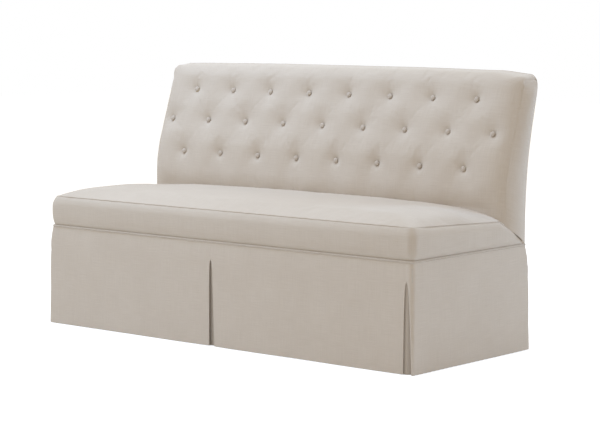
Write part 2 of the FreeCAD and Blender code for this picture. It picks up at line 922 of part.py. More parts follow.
def tie_bar(width, start, end):
    # A square bar on the button's axis, between two depths from the front face
    return Part.makeBox(width, width, end - start, Vector(-width / 2, -width / 2, -end))


def build_back():
    half = box_x - S.cover_thickness
    roll = S.end_roll_radius - S.quilt_depth
    over = S.cut_overrun
    outer = back_form(as_size(0), as_size(0), post_rear, box_x, S.end_roll_radius, low_edge)
    inner = back_form(S.quilt_depth, S.quilt_depth, -over, half, roll, low_edge - over)
    cover = outer.cut(inner)
    panel_zone = extruded(*side_outline(S.end_roll_radius, S.end_roll_radius, -over, low_edge - over),
                          box_x + over)
    cover = cover.cut(end_slices(panel_zone)).cut(end_slices(below_seam(hem_x, gap)))
    hole = tie_bar((S.tie_width + gap * 2).value, 0, (post_front + S.quilt_depth).value)
    holes = at_buttons(hole)
    cover = largest(cover.cut(at_buttons(tuft_tool())).cut(holes))
    foam = back_form(foam_front, foam_front, post_rear, frame_x, roll, low_edge)
    foam = largest(foam.cut(frame_region()).cut(holes))
    hole_item = shaped("tie_holes", holes)
    burlap_top = S.bench_height - frame_top_inset - S.top_rail_height / 4
    half_burlap = frame_x - roll
    points, arcs = layer_outline(burlap_front, burlap_rear, low_edge, burlap_top)
    sheet = padded_outline("burlap_sheet", "YZ_Plane", points, 2 * half_burlap, arcs, midplane=True)
    webbing = group("webbing_strips", build_webbing())
    seat_at = (gap - S.tuft_depth).value
    tie = tie_bar(S.tie_width.value, -seat_at, (webbing_rear + gap).value)
    toggle = Part.makeBox(S.toggle_length.value, S.toggle_width.value, S.toggle_thickness.value,
                          Vector(-S.toggle_length.value / 2, -S.toggle_width.value / 2,
                                 -(webbing_rear + gap + S.toggle_thickness).value))
    return [
        shaped("back_tufted_cover", cover),
        shaped("back_foam", foam),
        cut_item("back_burlap", sheet, hole_item),
        cut_item("back_webbing", webbing, hole_item),
        shaped("back_buttons", at_buttons(button_solid(seat_at))),
        shaped("button_ties", at_buttons(tie)),
        shaped("tie_toggles", at_buttons(toggle)),
    ]


def cut_item(label, base, tool):
    item = doc.addObject("Part::Cut", label)
    item.Base = base
    item.Tool = tool
    return finish_item(item, label)


def end_slices(shape):
    # The parts of a shape beyond the inner faces of the cloth at the two ends
    start = (box_x - S.cover_thickness).value
    width = (S.cover_thickness + S.cut_overrun * 3).value
    size = (width, bench_depth.value, S.bench_height.value)
    right = Part.makeBox(*size, Vector(start, -bench_depth.value / 2, 0))
    left = Part.makeBox(*size, Vector(-start - width, -bench_depth.value / 2, 0))
    return shape.common(Part.Compound([left, right]))


def frame_region():
    # The room behind the foam that burlap, webbing, posts and rails fill
    over = S.cut_overrun
    high = S.bench_height - frame_top_inset + gap
    foot, head, radius = bend_points(foam_rear)
    points = [
        (back_front + foam_rear, low_edge - over),
        foot,
        head,
        (raked_y(foam_rear, high), high),
        (bench_depth / 2 + over, high),
        (bench_depth / 2 + over, low_edge - over),
    ]
    return extruded(points, {1: (radius, -1)}, hem_x)


def build_webbing():
    # One strip behind each row of buttons, and one low on the straight part of the posts
    strips = []
    half = S.webbing_width / 2
    reach = frame_x - gap
    foot, head, radius = bend_points(webbing_front)
    rear_foot, rear_head, rear_radius_of_strip = bend_points(webbing_rear)
    for i, (height, columns) in enumerate(button_rows):
        face_y, rake = row_face(height)
        middle = height - webbing_front * math.sin(rake)
        low = middle - half
        high = middle + half
        arcs = {}
        if low.value > head[1].value:
            corners = [(raked_y(webbing_front, low), low), (raked_y(webbing_front, high), high),
                       (raked_y(webbing_rear, high), high), (raked_y(webbing_rear, low), low)]
        else:
            corners = [(bent_y(webbing_front, low), low), (bent_y(webbing_front, high), high),
                       (bent_y(webbing_rear, high), high), (bent_y(webbing_rear, low), low)]
            arcs = {0: (radius, -1), 2: (rear_radius_of_strip, 1)}
        strips.append(padded_outline(f"webbing_row_{i}", "YZ_Plane", corners, 2 * reach, arcs,
                                     midplane=True))
    low = low_edge + gap
    strips.append(box("webbing_row_low", (-reach, back_front + webbing_front, low),
                      (2 * reach, S.webbing_thickness, S.webbing_width)))
    return strips


def button_solid(seat_at):
    # A covered button: a short edge under a shallow dome
    edge = S.button_edge.value
    crown = S.button_crown.value
    sides = 10
    rings = [ring_points(S.button_radius.value, seat_at, sides)]
    for radius_share, crown_share in button_dome_shares:
        rings.append(ring_points(S.button_radius.value * radius_share,
                                 seat_at + edge + crown * crown_share, sides))
    return Part.Compound([faceted(rings)])


def side_outline(front, top, rear, low):
    # The flat end of the back, inside the rolled front and top
    high = S.bench_height - top
    foot, head, radius = bend_points(front)
    points = [
        (back_front + front, low),
        foot,
        head,
        (raked_y(front, high), high),
        (rear_y(rear, high), high),
        (rear_face - rear, rear_bend_height),
        (rear_face - rear, low),
    ]
    return points, {1: (radius, -1), 4: (rear_radius + rear, 1)}


def build_side_panels():
    # Plain cloth on the ends of the back, from the rolled front down to the sloping seam
    inset = S.end_roll_radius + gap
    points, arcs = side_outline(inset, inset, post_rear, welt_height)
    panels = []
    for name, start in (("left", -box_x), ("right", box_x - S.cover_thickness)):
        blank = padded_outline(name + "_back_side_blank", "YZ_Plane", points, S.cover_thickness,
                               arcs, start)
        seam, seam_arcs = seam_outline(gap)
        zone = padded_outline(name + "_slope_zone", "YZ_Plane", seam,
                              S.cover_thickness + 2 * S.cut_overrun, seam_arcs,
                              start - S.cut_overrun)
        panels.append(cut_item(name + "_back_side_panel", blank, zone))
    return panels


def build_outside_back():
    low = seat_low()
    high = S.bench_height
    inset = S.outside_back_thickness
    points = [
        (rear_y(inset, high), high),
        (bench_depth / 2, high),
        (rear_face, rear_bend_height),
        (rear_face, low),
        (rear_face - inset, low),
        (rear_face - inset, rear_bend_height),
    ]
    arcs = {1: (rear_radius, 1), 5: (rear_radius + inset, -1)}
    blank = padded_outline("outside_back_blank", "YZ_Plane", points, 2 * box_x, arcs, midplane=True)
    return round_shouldered("outside_back_panel", blank, box_x, low, high, S.end_roll_radius)


# Kick-pleat skirt: five panels with folded returns, and inserts behind the pleats


def skirt_levels():
    # Height, flare beyond the box, and how far a pleat has opened, from its top to the hem
    top = welt_height - S.welt_radius - gap
    strip_foot = top - S.strip_height
    share = (top - strip_foot) / (top - pleat_stitch_height)
    return [
        (strip_foot.value, (S.skirt_shoulder_flare * share).value, 0),
        (pleat_stitch_height.value, S.skirt_shoulder_flare.value, 0),
        (S.hem_clearance.value, S.skirt_flare.value, 1),
    ]


def ruled(sections):
    return Part.makeLoft([Part.makePolygon(points + points[:1]) for points in sections], True, True)


def panel_section(side, start, end, flare, level, rear=False):
    # side maps (along, outward) to the floor plan; start and end carry a fold each
    cloth = S.skirt_cloth.value
    slack = gap.value
    back = S.pleat_return.value
    second = cloth * 2 + slack
    line = [
        (start, 0), (end, 0), (end, -second), (end - back, -second), (end - back, -cloth - slack),
        (end - cloth, -cloth - slack), (end - cloth, -cloth), (start + cloth, -cloth),
        (start + cloth, -cloth - slack), (start + back, -cloth - slack), (start + back, -second),
        (start, -second),
    ]
    return [side(along, outward + flare, level) for along, outward in line]


def front_side(along, outward, level):
    return Vector(along, box_front.value - outward, level)


def rear_side(along, outward, level):
    return Vector(-along, rear_face.value + outward, level)


def left_side(along, outward, level):
    return Vector(-box_x.value - outward, -along, level)


def right_side(along, outward, level):
    return Vector(box_x.value + outward, along, level)


def skirt_panel(label, side, ends):
    # ends gives the two fold lines at a flare and an opening share
    top = (welt_height - S.welt_radius - gap).value
    levels = skirt_levels()
    sections = [panel_section(side, *ends(flare, share), flare, level) for level, flare, share in levels]
    body = ruled(sections)
    cloth = S.skirt_cloth.value
    start, end = ends(0, 0)
    level, flare, share = levels[0]
    low_start, low_end = ends(flare, share)
    head = ruled([
        [side(start, 0, top), side(end, 0, top), side(end, -cloth, top), side(start, -cloth, top)],
        [side(low_start, flare, level), side(low_end, flare, level),
         side(low_end, flare - cloth, level), side(low_start, flare - cloth, level)],
    ])
    return shaped(label, body.fuse(head).removeSplitter())


def centre_edge(share):
    return (S.pleat_closed_gap + (S.centre_pleat_opening - S.pleat_closed_gap) * share).value / 2


def corner_edge(reach, flare, share):
    # The fold line of a front or rear panel at the corner: tight against the side panel's
    # folds above the pleat's stitching, and drawn back at the hem
    tight = reach + flare - 2 * (S.skirt_cloth + gap).value
    return tight - (S.corner_pleat_opening.value - 2 * (S.skirt_cloth + gap).value) * share


def build_skirt():
    reach = box_x.value

    def front_left(flare, share):
        return -corner_edge(reach, flare, share), -centre_edge(share)

    def front_right(flare, share):
        return centre_edge(share), corner_edge(reach, flare, share)

    def rear(flare, share):
        return -corner_edge(reach, flare, share), corner_edge(reach, flare, share)

    def right_ends(flare, share):
        return box_front.value - flare, rear_face.value + flare

    def left_ends(flare, share):
        return -rear_face.value - flare, -box_front.value + flare

    items = [
        skirt_panel("front_left_skirt", front_side, front_left),
        skirt_panel("front_right_skirt", front_side, front_right),
        skirt_panel("rear_skirt", rear_side, rear),
        skirt_panel("left_skirt", left_side, left_ends),
        skirt_panel("right_skirt", right_side, right_ends),
    ]
    return items + build_inserts() + [build_tack_strips()]


def build_inserts():
    # The underlay that shows in an open pleat: flat at the centre, folded at the corners
    items = []
    cloth = S.skirt_cloth.value
    behind = 2 * (S.skirt_cloth + gap).value
    half = S.insert_width.value / 2
    sections = []
    for level, flare, share in skirt_levels():
        near = flare - behind
        sections.append([front_side(-half, near, level), front_side(half, near, level),
                         front_side(half, near - cloth, level), front_side(-half, near - cloth, level)])
    items.append(shaped("centre_pleat_insert", ruled(sections)))
    for front in (True, False):
        for side in (-1, 1):
            name = ("front" if front else "rear") + ("_left" if side < 0 else "_right")
            way = -1 if front else 1
            plane = box_front.value if front else rear_face.value
            sections = []
            for level, flare, share in skirt_levels():
                x = box_x.value + flare - behind
                y = plane + way * (flare - behind)
                leg = S.insert_width.value
                corner = [
                    (x, y), (x - leg, y), (x - leg, y - way * cloth), (x - cloth, y - way * cloth),
                    (x - cloth, y - way * leg), (x, y - way * leg),
                ]
                sections.append([Vector(side * a, b, level) for a, b in corner])
            items.append(shaped(name + "_pleat_insert", ruled(sections)))
    return items


def build_tack_strips():
    # Card strips that hold the skirt's top edge to the rails
    thickness = S.cover_thickness - S.skirt_cloth
    low = welt_height - S.welt_radius - gap - S.strip_height
    rear_outer = rear_face - post_rear
    length_y = rear_outer - frame_front
    strips = [
        box("front_tack_strip", (-frame_x, frame_front - thickness, low),
            (2 * frame_x, thickness, S.strip_height)),
        box("rear_tack_strip", (-frame_x, rear_outer, low), (2 * frame_x, thickness, S.strip_height)),
        box("left_tack_strip", (-frame_x - thickness, frame_front, low),
            (thickness, length_y, S.strip_height)),
        box("right_tack_strip", (frame_x, frame_front, low), (thickness, length_y, S.strip_height)),
    ]
    return group("skirt_tack_strips", strips)


welt_sides = 8
welt_corner_steps = 4


def build_welt():
    # Self-covered cord all round, seated on the rails between boxing and skirt
    out = (gap + S.welt_radius).value
    radius = out
    x = frame_x.value + out
    front = frame_front.value - out
    rear = (rear_face - post_rear).value + out
    z = welt_height.value
    corners = [(x, rear), (-x, rear), (-x, front), (x, front)]
    diagonal = radius * (1 - math.sqrt(0.5))
    rings = []
    for i, (cx, cy) in enumerate(corners):
        centre = Vector(cx - math.copysign(radius, cx), cy - math.copysign(radius, cy), z)
        for step in range(welt_corner_steps + 1):
            turn = math.pi / 2 * (i + step / welt_corner_steps)
            outward = Vector(math.cos(turn), math.sin(turn), 0)
            ring = ring_points(S.welt_radius.value, 0, welt_sides)
            rings.append([centre + outward * (radius + p.x) + Vector(0, 0, p.y) for p in ring])
    return shaped("seat_welt", faceted(rings, closed=True))


def build_dust_cover():
    # Black cambric under the frame, cut round the legs
    low = rail_bottom - S.dust_cover_thickness
    rear_outer = rear_face - post_rear
    inset = gap
    sheet = box("dust_sheet", (inset - frame_x, frame_front + inset, low),
                (2 * (frame_x - inset), rear_outer - frame_front - 2 * inset, S.dust_cover_thickness))
    notches = []
    half = S.leg_size / 2 + gap
    for name, x, y in leg_places():
        notches.append(box(name + "_notch", (x - half, y - half, low - S.cut_overrun),
                           (2 * half, 2 * half, S.dust_cover_thickness + 2 * S.cut_overrun)))
    return cut_item("dust_cover", sheet, group("leg_notches", notches))


def solids_of(item):
    return item.Shape.Solids


def check(items):
    problems = []
    for item in doc.Objects:
        if "Invalid" in item.State or "Error" in item.State:
            problems.append(f"{item.Label}: {item.State}")
    for item in items:
        if item.Shape.isNull() or not item.Shape.isValid() or not solids_of(item):
            problems.append(f"{item.Label}: shape")
    if problems:
        raise RuntimeError("; ".join(problems))


def main():
    items = build_frame() + build_legs() + build_springs() + build_seat() + build_back()
    items += build_side_panels() + [build_outside_back()]
    items += build_skirt() + [build_welt(), build_dust_cover()]
    doc.recompute()
    check(items)
    os.makedirs("parts", exist_ok=True)
    for item in items:
        item.Shape.exportStep(f"parts/{item.Label}.step")
        print(item.Label, len(solids_of(item)), round(item.Shape.Volume))


main()
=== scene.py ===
import bpy
import math
import random
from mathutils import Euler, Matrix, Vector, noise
from mathutils.bvhtree import BVHTree


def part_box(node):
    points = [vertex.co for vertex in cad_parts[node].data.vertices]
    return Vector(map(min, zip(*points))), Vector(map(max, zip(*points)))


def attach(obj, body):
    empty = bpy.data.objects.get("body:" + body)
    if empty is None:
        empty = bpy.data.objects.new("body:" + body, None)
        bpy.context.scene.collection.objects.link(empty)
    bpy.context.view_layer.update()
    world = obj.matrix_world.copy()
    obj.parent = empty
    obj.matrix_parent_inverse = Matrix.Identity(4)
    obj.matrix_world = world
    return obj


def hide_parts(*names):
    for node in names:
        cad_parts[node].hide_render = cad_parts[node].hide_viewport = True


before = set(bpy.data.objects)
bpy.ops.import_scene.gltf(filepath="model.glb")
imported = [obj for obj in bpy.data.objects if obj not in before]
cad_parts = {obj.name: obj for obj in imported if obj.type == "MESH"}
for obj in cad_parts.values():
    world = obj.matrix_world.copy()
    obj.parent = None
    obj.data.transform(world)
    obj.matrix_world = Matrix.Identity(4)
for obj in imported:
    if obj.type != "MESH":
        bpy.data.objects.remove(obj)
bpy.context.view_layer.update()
random.seed(7)

# the upholstered box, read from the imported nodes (metres)
outsideDeep = 0.0053
topRounding = 0.005
weltRadius = 0.0035
boxingLow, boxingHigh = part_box("seat_boxing")
outsideLow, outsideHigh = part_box("outside_back_panel")
endX = boxingHigh.x
frontY = boxingLow.y
rearY = outsideLow.y + outsideDeep
topZ = outsideHigh.z - topRounding
rearTopY = outsideHigh.y
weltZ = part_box("seat_welt")[0].z + weltRadius


def deselectAll():
    if bpy.context.object and bpy.context.object.mode != "OBJECT":
        bpy.ops.object.mode_set(mode="OBJECT")
    bpy.ops.object.select_all(action="DESELECT")


def only(piece):
    deselectAll()
    piece.select_set(True)
    bpy.context.view_layer.objects.active = piece


def named(piece, name):
    piece.name = name
    piece.data.name = name
    return piece


def applyAll(piece):
    only(piece)
    for modifier in list(piece.modifiers):
        bpy.ops.object.modifier_apply(modifier=modifier.name)


def placed(piece):
    only(piece)
    bpy.ops.object.transform_apply(location=True, rotation=True, scale=True)


def gridPiece(name, columns, rows, place, flat):
    # a flat grid, drawn to its form point by point; its UV map is in metres of cloth
    deselectAll()
    bpy.ops.mesh.primitive_grid_add(x_subdivisions=columns, y_subdivisions=rows, size=2)
    piece = named(bpy.context.object, name)
    for vertex in piece.data.vertices:
        vertex.co = place((vertex.co.x + 1) / 2, (vertex.co.y + 1) / 2)
    for corner in piece.data.uv_layers[0].data:
        corner.uv = (corner.uv.x * flat[0], corner.uv.y * flat[1])
    piece.data.update()
    return piece


def pointOut(piece, probe, outward):
    # turns the faces over where the face nearest to a point looks the wrong way
    face = min(piece.data.polygons, key=lambda f: (f.center - Vector(probe)).length)
    if face.normal.dot(Vector(outward)) < 0:
        only(piece)
        bpy.ops.object.mode_set(mode="EDIT")
        bpy.ops.mesh.select_all(action="SELECT")
        bpy.ops.mesh.flip_normals()
        bpy.ops.object.mode_set(mode="OBJECT")


def smooth(piece, angle):
    only(piece)
    bpy.ops.object.shade_smooth_by_angle(angle=math.radians(angle))


def thicken(piece, cloth, offset=-1):
    # gives cloth its back and its edge
    solid = piece.modifiers.new("cloth", "SOLIDIFY")
    solid.thickness = cloth
    solid.offset = offset
    solid.use_even_offset = False
    applyAll(piece)


def rim(piece):
    # the points on the open edge of a piece
    used = {}
    for face in piece.data.polygons:
        for key in face.edge_keys:
            used[key] = used.get(key, 0) + 1
    return {spot for key, count in used.items() if count == 1 for spot in key}


def swell(piece, held, fill, firm=0.6):
    # Blender's Cloth on the piece: the held points stay and the rest fills out, up to a cap;
    # past the firm share of the cap it gives way less and less
    start = [vertex.co.copy() for vertex in piece.data.vertices]
    piece.vertex_groups.new(name="held").add(sorted(held), 1.0, "REPLACE")
    only(piece)
    bpy.ops.object.modifier_add(type="CLOTH")
    cloth = piece.modifiers[-1]
    cloth.collision_settings.use_collision = False
    pad = cloth.settings
    pad.vertex_group_mass = "held"
    pad.use_pressure = True
    pad.uniform_pressure_force = fill["pressure"]
    pad.effector_weights.gravity = 0
    pad.quality = 5
    pad.tension_stiffness = pad.compression_stiffness = fill["stretch"]
    pad.shear_stiffness = fill["shear"]
    pad.bending_stiffness = fill["bend"]
    pad.shrink_min = -fill["slack"]
    for count in range(1, fill["frames"] + 1):
        bpy.context.scene.frame_set(count)
    bpy.ops.object.modifier_apply(modifier=cloth.name)
    bpy.context.scene.frame_set(1)
    piece.vertex_groups.clear()
    most = 0.0
    for vertex, first in zip(piece.data.vertices, start):
        moved = vertex.co - first
        most = max(most, moved.length)
        if moved.length > firm * fill["cap"]:
            over = moved.length / fill["cap"] - firm
            moved *= fill["cap"] * (firm + (1 - firm) * math.tanh(over / (1 - firm))) / moved.length
        vertex.co = first + moved
    print("filled out", piece.name, "by", round(most * 1000, 1), "mm before the cap")


def tuckUnder(piece, cover, way, beyond, gap=0.003, inside=0.12, reach=0.30):
    # draws a filling back where it would touch the cover over it, past a place on the way out
    points = [v.co for v in cover.data.vertices]
    tree = BVHTree.FromPolygons(points, [f.vertices for f in cover.data.polygons])
    way = Vector(way)
    for vertex in piece.data.vertices:
        if vertex.co.dot(way) < beyond:
            continue
        spot = tree.ray_cast(vertex.co - way * inside, way, reach)[0]
        if spot and (spot - vertex.co).dot(way) < gap:
            vertex.co = spot - way * gap


def mix(a, b, share):
    return a + (b - a) * share


def ease(low, high, value):
    share = min(max((value - low) / (high - low), 0), 1)
    return share * share * (3 - 2 * share)


def drift(x, y, z, scale, seed):
    # slow noise from -1 to 1
    return noise.noise(Vector((x / scale + seed * 17.3, y / scale - seed * 5.1, z / scale + seed)))


class Wire:
    # a socket that takes part in sums; node() adds any other node

    def __init__(self, tree, socket=None):
        self.tree = tree
        self.socket = socket

    def node(self, kind, settings=None, values=None, pick=0):
        made = self.tree.nodes.new(kind)
        for key, value in (settings or {}).items():
            setattr(made, key, value)
        for key, value in (values or {}).items():
            if isinstance(value, Wire):
                self.tree.links.new(value.socket, made.inputs[key])
            else:
                made.inputs[key].default_value = value
        return Wire(self.tree, made.outputs[pick])

    def sum(self, operation, *others):
        made = self.tree.nodes.new("ShaderNodeMath")
        made.operation = operation
        for place, value in zip(made.inputs, (self, *others)):
            if isinstance(value, Wire):
                self.tree.links.new(value.socket, place)
            else:
                place.default_value = value
        return Wire(self.tree, made.outputs[0])

    def __add__(self, other):
        return self.sum("ADD", other)

    def __sub__(self, other):
        return self.sum("SUBTRACT", other)

    def __mul__(self, other):
        return self.sum("MULTIPLY", other)

    def sine(self):
        return self.sum("SINE")

    def size(self):
        return self.sum("ABSOLUTE")


def startMaterial(name, rough, metal=0.0):
    material = bpy.data.materials.new(name)
    material.use_nodes = True
    tree = material.node_tree
    surface = tree.nodes["Principled BSDF"]
    surface.inputs["Roughness"].default_value = rough
    surface.inputs["Metallic"].default_value = metal
    return material, Wire(tree), surface


def feed(surface, name, wire):
    wire.tree.links.new(wire.socket, surface.inputs[name])


def spread(wire, coordinates, scales, seed, detail=3.0):
    # noise drawn out by a scale for each axis
    start = (seed, seed * 0.7, seed * 1.3)
    stretched = wire.node("ShaderNodeMapping", {"vector_type": "POINT"},
                          {"Vector": coordinates, "Scale": scales, "Location": start})
    return wire.node("ShaderNodeTexNoise", {"noise_dimensions": "3D"},
                     {"Vector": stretched, "Scale": 1.0, "Detail": detail, "Roughness": 0.55})


def blended(wire, share, dark, light):
    # a colour between two, where share says how far
    return wire.node("ShaderNodeMix", {"data_type": "RGBA", "clamp_factor": True},
                     {0: share, 6: dark, 7: light}, pick=2)


def raisedBy(wire, height, strength, distance):
    return wire.node("ShaderNodeBump", None, {"Strength": strength, "Distance": distance, "Height": height})


linen = {
    "light": (0.715, 0.655, 0.590, 1),
    "dark": (0.585, 0.518, 0.450, 1),
    "threadPitch": 0.0011,
    "weaveHeight": 0.00012,
    "slubLong": 14.0,
    "slubFine": 700.0,
}


# scales a colour darker; the linen uses it for painted shade
def deepened(colour, share):
    return (colour[0] * share, colour[1] * share, colour[2] * share, 1)


# tone and the darkening factor make lighter or darker copies of one linen: where a copy passes them, that
# is painted light or painted shade, not another cloth
def linenMaterial(name, onMap=True, tone=0.0, paintedShadeScale=1.0):
    material, wire, surface = startMaterial(name, rough=0.92)
    surface.inputs["Sheen Weight"].default_value = 0.12
    surface.inputs["Sheen Roughness"].default_value = 0.6
    surface.inputs["Specular IOR Level"].default_value = 0.25
    if onMap:
        cloth = wire.node("ShaderNodeUVMap", {"uv_map": "UVMap"})
    else:
        cloth = wire.node("ShaderNodeTexCoord", pick=3)
    space = wire.node("ShaderNodeTexCoord", pick=3)
    weft = spread(wire, cloth, (linen["slubLong"], linen["slubFine"], 40.0), seed=3.1)
    warp = spread(wire, cloth, (linen["slubFine"], linen["slubLong"], 40.0), seed=8.4)
    cloud = spread(wire, space, (7.0, 7.0, 7.0), detail=2.0, seed=1.7)
    # the slubs and clouds vary at random; tone shifts the whole copy, as painted light or painted shade
    shade = (weft - 0.5) * 1.1 + (warp - 0.5) * 0.8 + (cloud - 0.5) * 0.35 + (0.62 + tone)
    colour = blended(wire, shade, deepened(linen["dark"], paintedShadeScale), deepened(linen["light"], paintedShadeScale))
    feed(surface, "Base Color", colour)
    split = wire.node("ShaderNodeSeparateXYZ", None, {"Vector": cloth})
    across = Wire(wire.tree, split.socket.node.outputs[0])
    along = Wire(wire.tree, split.socket.node.outputs[1])
    turn = 2 * math.pi / linen["threadPitch"]
    threads = (across * turn).sine().size() * 0.5 + (along * turn).sine().size() * 0.5
    height = threads * 0.6 + weft * 0.5 + warp * 0.4
    feed(surface, "Normal", raisedBy(wire, height, 0.5, linen["weaveHeight"]))
    return material


# the seat top's copy is a little lighter: painted light on the face turned up to the lamps
litSeatLinen = linenMaterial("litSeatLinen", tone=0.02)
backLinen = linenMaterial("backLinen")
skirtLinen = linenMaterial("skirtLinen")
# the buttons and the welt get a darker copy of the same linen: painted shade, dimming the buttons in their
# bowls and the welt under the seat's edge
shadedSmallLinen = linenMaterial("shadedSmallLinen", onMap=False, paintedShadeScale=0.91)
# the pleat inserts get a darker copy of the same linen: painted shade for their place in the pleats'
# recesses
shadedInsertLinen = linenMaterial("shadedInsertLinen", tone=-0.15, paintedShadeScale=0.92)
print("linen ready")


seatTop = {
    "columns": 190,
    "rows": 64,
    "cornerRadius": 0.014,
    "seamZ": 0.4770,
    "seamDrop": 0.0195,
    "crown": 0.0290,
    "fill": {"pressure": 0.8, "stretch": 20, "shear": 8, "bend": 1.0,
             "slack": 0.002, "cap": 0.006, "frames": 12},
    "seamInset": 0.004,
    "frontReach": 0.046,
    "endReach": 0.030,
    "endReachBack": 0.125,
    "slopeStart": 0.134,
    "slopeRadius": 0.90,
    "slopeFootZ": 0.373,
    "backFront": 0.143,
    "tuck": 0.034,
    "edgeShape": 0.85,
    "pucker": 0.0011,
    "puckerLong": 0.021,
    "puckerReach": 0.016,
    "loose": 0.0016,
    "looseLong": 0.16,
    "fineShare": 0.03,
    "rollIn": 0.060,
    "flat": (1.78, 0.56),
    "cloth": 0.003,
}


def seamHeight(y):
    # the seam between the top panel and the boxing, falling towards the back on one arc
    s = seatTop
    if y <= s["slopeStart"]:
        return s["seamZ"] - s["seamDrop"] * max(y - frontY, 0) / (s["slopeStart"] - frontY)
    ay, az = s["slopeStart"], s["seamZ"] - s["seamDrop"]
    by, bz = rearY, s["slopeFootZ"]
    my, mz = (ay + by) / 2, (az + bz) / 2
    dy, dz = by - ay, bz - az
    chord = math.hypot(dy, dz)
    rise = math.sqrt(s["slopeRadius"] ** 2 - chord * chord / 4)
    cy, cz = my + dz / chord * rise, mz - dy / chord * rise
    return cz + math.sqrt(max(s["slopeRadius"] ** 2 - (y - cy) ** 2, 0))


def cornerOffset(x, radius):
    # how far the front edge draws back at a rounded corner
    inside = endX - seatTop["seamInset"] - abs(x)
    if inside >= radius:
        return 0.0
    return radius - math.sqrt(max(radius * radius - (radius - inside) ** 2, 0))


def endSpread(share, corner, fine):
    # columns closer together towards both ends
    side = abs(share * 2 - 1)
    flat = endX - seatTop["seamInset"] - corner
    if side < 1 - fine:
        return math.copysign(flat * side / (1 - fine), share - 0.5)
    turn = (side - (1 - fine)) / fine * math.pi / 2
    return math.copysign(flat + corner * math.sin(turn), share - 0.5)


def seatSurface(x, y, edgeY):
    s = seatTop
    fromEnd = max(endX - s["seamInset"] - abs(x), 0)
    fromFront = max(y - edgeY, 0)
    backward = ease(-0.10, s["backFront"], y)
    reach = mix(s["endReach"], s["endReachBack"], backward)
    ends = 1 - math.exp(-((fromEnd / reach) ** s["edgeShape"]))
    front = 1 - math.exp(-((fromFront / s["frontReach"]) ** s["edgeShape"]))
    base = seamHeight(y)
    crown = s["seamZ"] + s["crown"] - base
    z = base + crown * ends * front
    seam = min(fromFront, fromEnd if y < s["backFront"] else 1)
    pucker = drift(x, y * 0.3, 0, s["puckerLong"], 2) * s["pucker"] * math.exp(-seam / s["puckerReach"])
    loose = drift(x, y, 0, s["looseLong"], 5) * s["loose"] * min(fromEnd, fromFront, 0.05) / 0.05
    return z + pucker * min(seam / 0.004, 1) + loose


def seatPlace(u, v):
    s = seatTop
    x = endSpread(u, s["cornerRadius"], s["fineShare"])
    edgeY = frontY + s["seamInset"] + cornerOffset(x, s["cornerRadius"])
    roll = max(abs(x) - (endX - s["rollIn"]), 0) / s["rollIn"]
    backY = s["backFront"] + s["tuck"] + s["rollIn"] * (1 - math.sqrt(max(1 - roll * roll, 0)))
    y = mix(edgeY, backY, v ** 1.25)
    return Vector((x, y, seatSurface(x, y, edgeY)))


seatPiece = gridPiece("seatTopPanel", seatTop["columns"], seatTop["rows"], seatPlace, seatTop["flat"])
pointOut(seatPiece, (0, -0.1, 0.51), (0, 0, 1))
underBack = {v.index for v in seatPiece.data.vertices if v.co.y > seatTop["backFront"] - 0.004}
swell(seatPiece, rim(seatPiece) | underBack, seatTop["fill"])
thicken(seatPiece, seatTop["cloth"])
smooth(seatPiece, 60)
seatPiece.data.materials.append(litSeatLinen)
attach(seatPiece, "root")
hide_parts("seat_top_panel")
print("seat top ready")


boxing = {
    "columns": 300,
    "rows": 26,
    "tuckedIn": 0.0034,
    "tuckedDown": 0.0016,
    "cornerLow": 0.008,
    "cornerHigh": 0.014,
    "belly": 0.0125,
    "foot": 2.4,
    "shoulder": 3.8,
    "tall": 0.10,
    "aboveWelt": 0.0005,
    "pinch": 0.0070,
    "pinchPower": 9,
    "wave": 0.0009,
    "waveLong": 0.035,
    "pucker": 0.0010,
    "puckerLong": 0.016,
    "flat": (2.9, 0.104),
    "cloth": 0.003,
}


def aroundFront(share, radius, rear):
    # a point and its outward direction on the way from the left rear corner round by the front
    side = rear - frontY - radius
    front = 2 * (endX - radius)
    bend = radius * math.pi / 2
    total = 2 * side + front + 2 * bend
    s = share * total
    if s <= side:
        return Vector((-endX, rear - s, 0)), Vector((-1, 0, 0))
    s -= side
    if s <= bend:
        turn = s / radius
        out = Vector((-math.cos(turn), -math.sin(turn), 0))
        return Vector((-endX + radius, frontY + radius, 0)) + out * radius, out
    s -= bend
    if s <= front:
        return Vector((-endX + radius + s, frontY, 0)), Vector((0, -1, 0))
    s -= front
    if s <= bend:
        turn = s / radius
        out = Vector((math.sin(turn), -math.cos(turn), 0))
        return Vector((endX - radius, frontY + radius, 0)) + out * radius, out
    s -= bend
    return Vector((endX, frontY + radius + s, 0)), Vector((1, 0, 0))


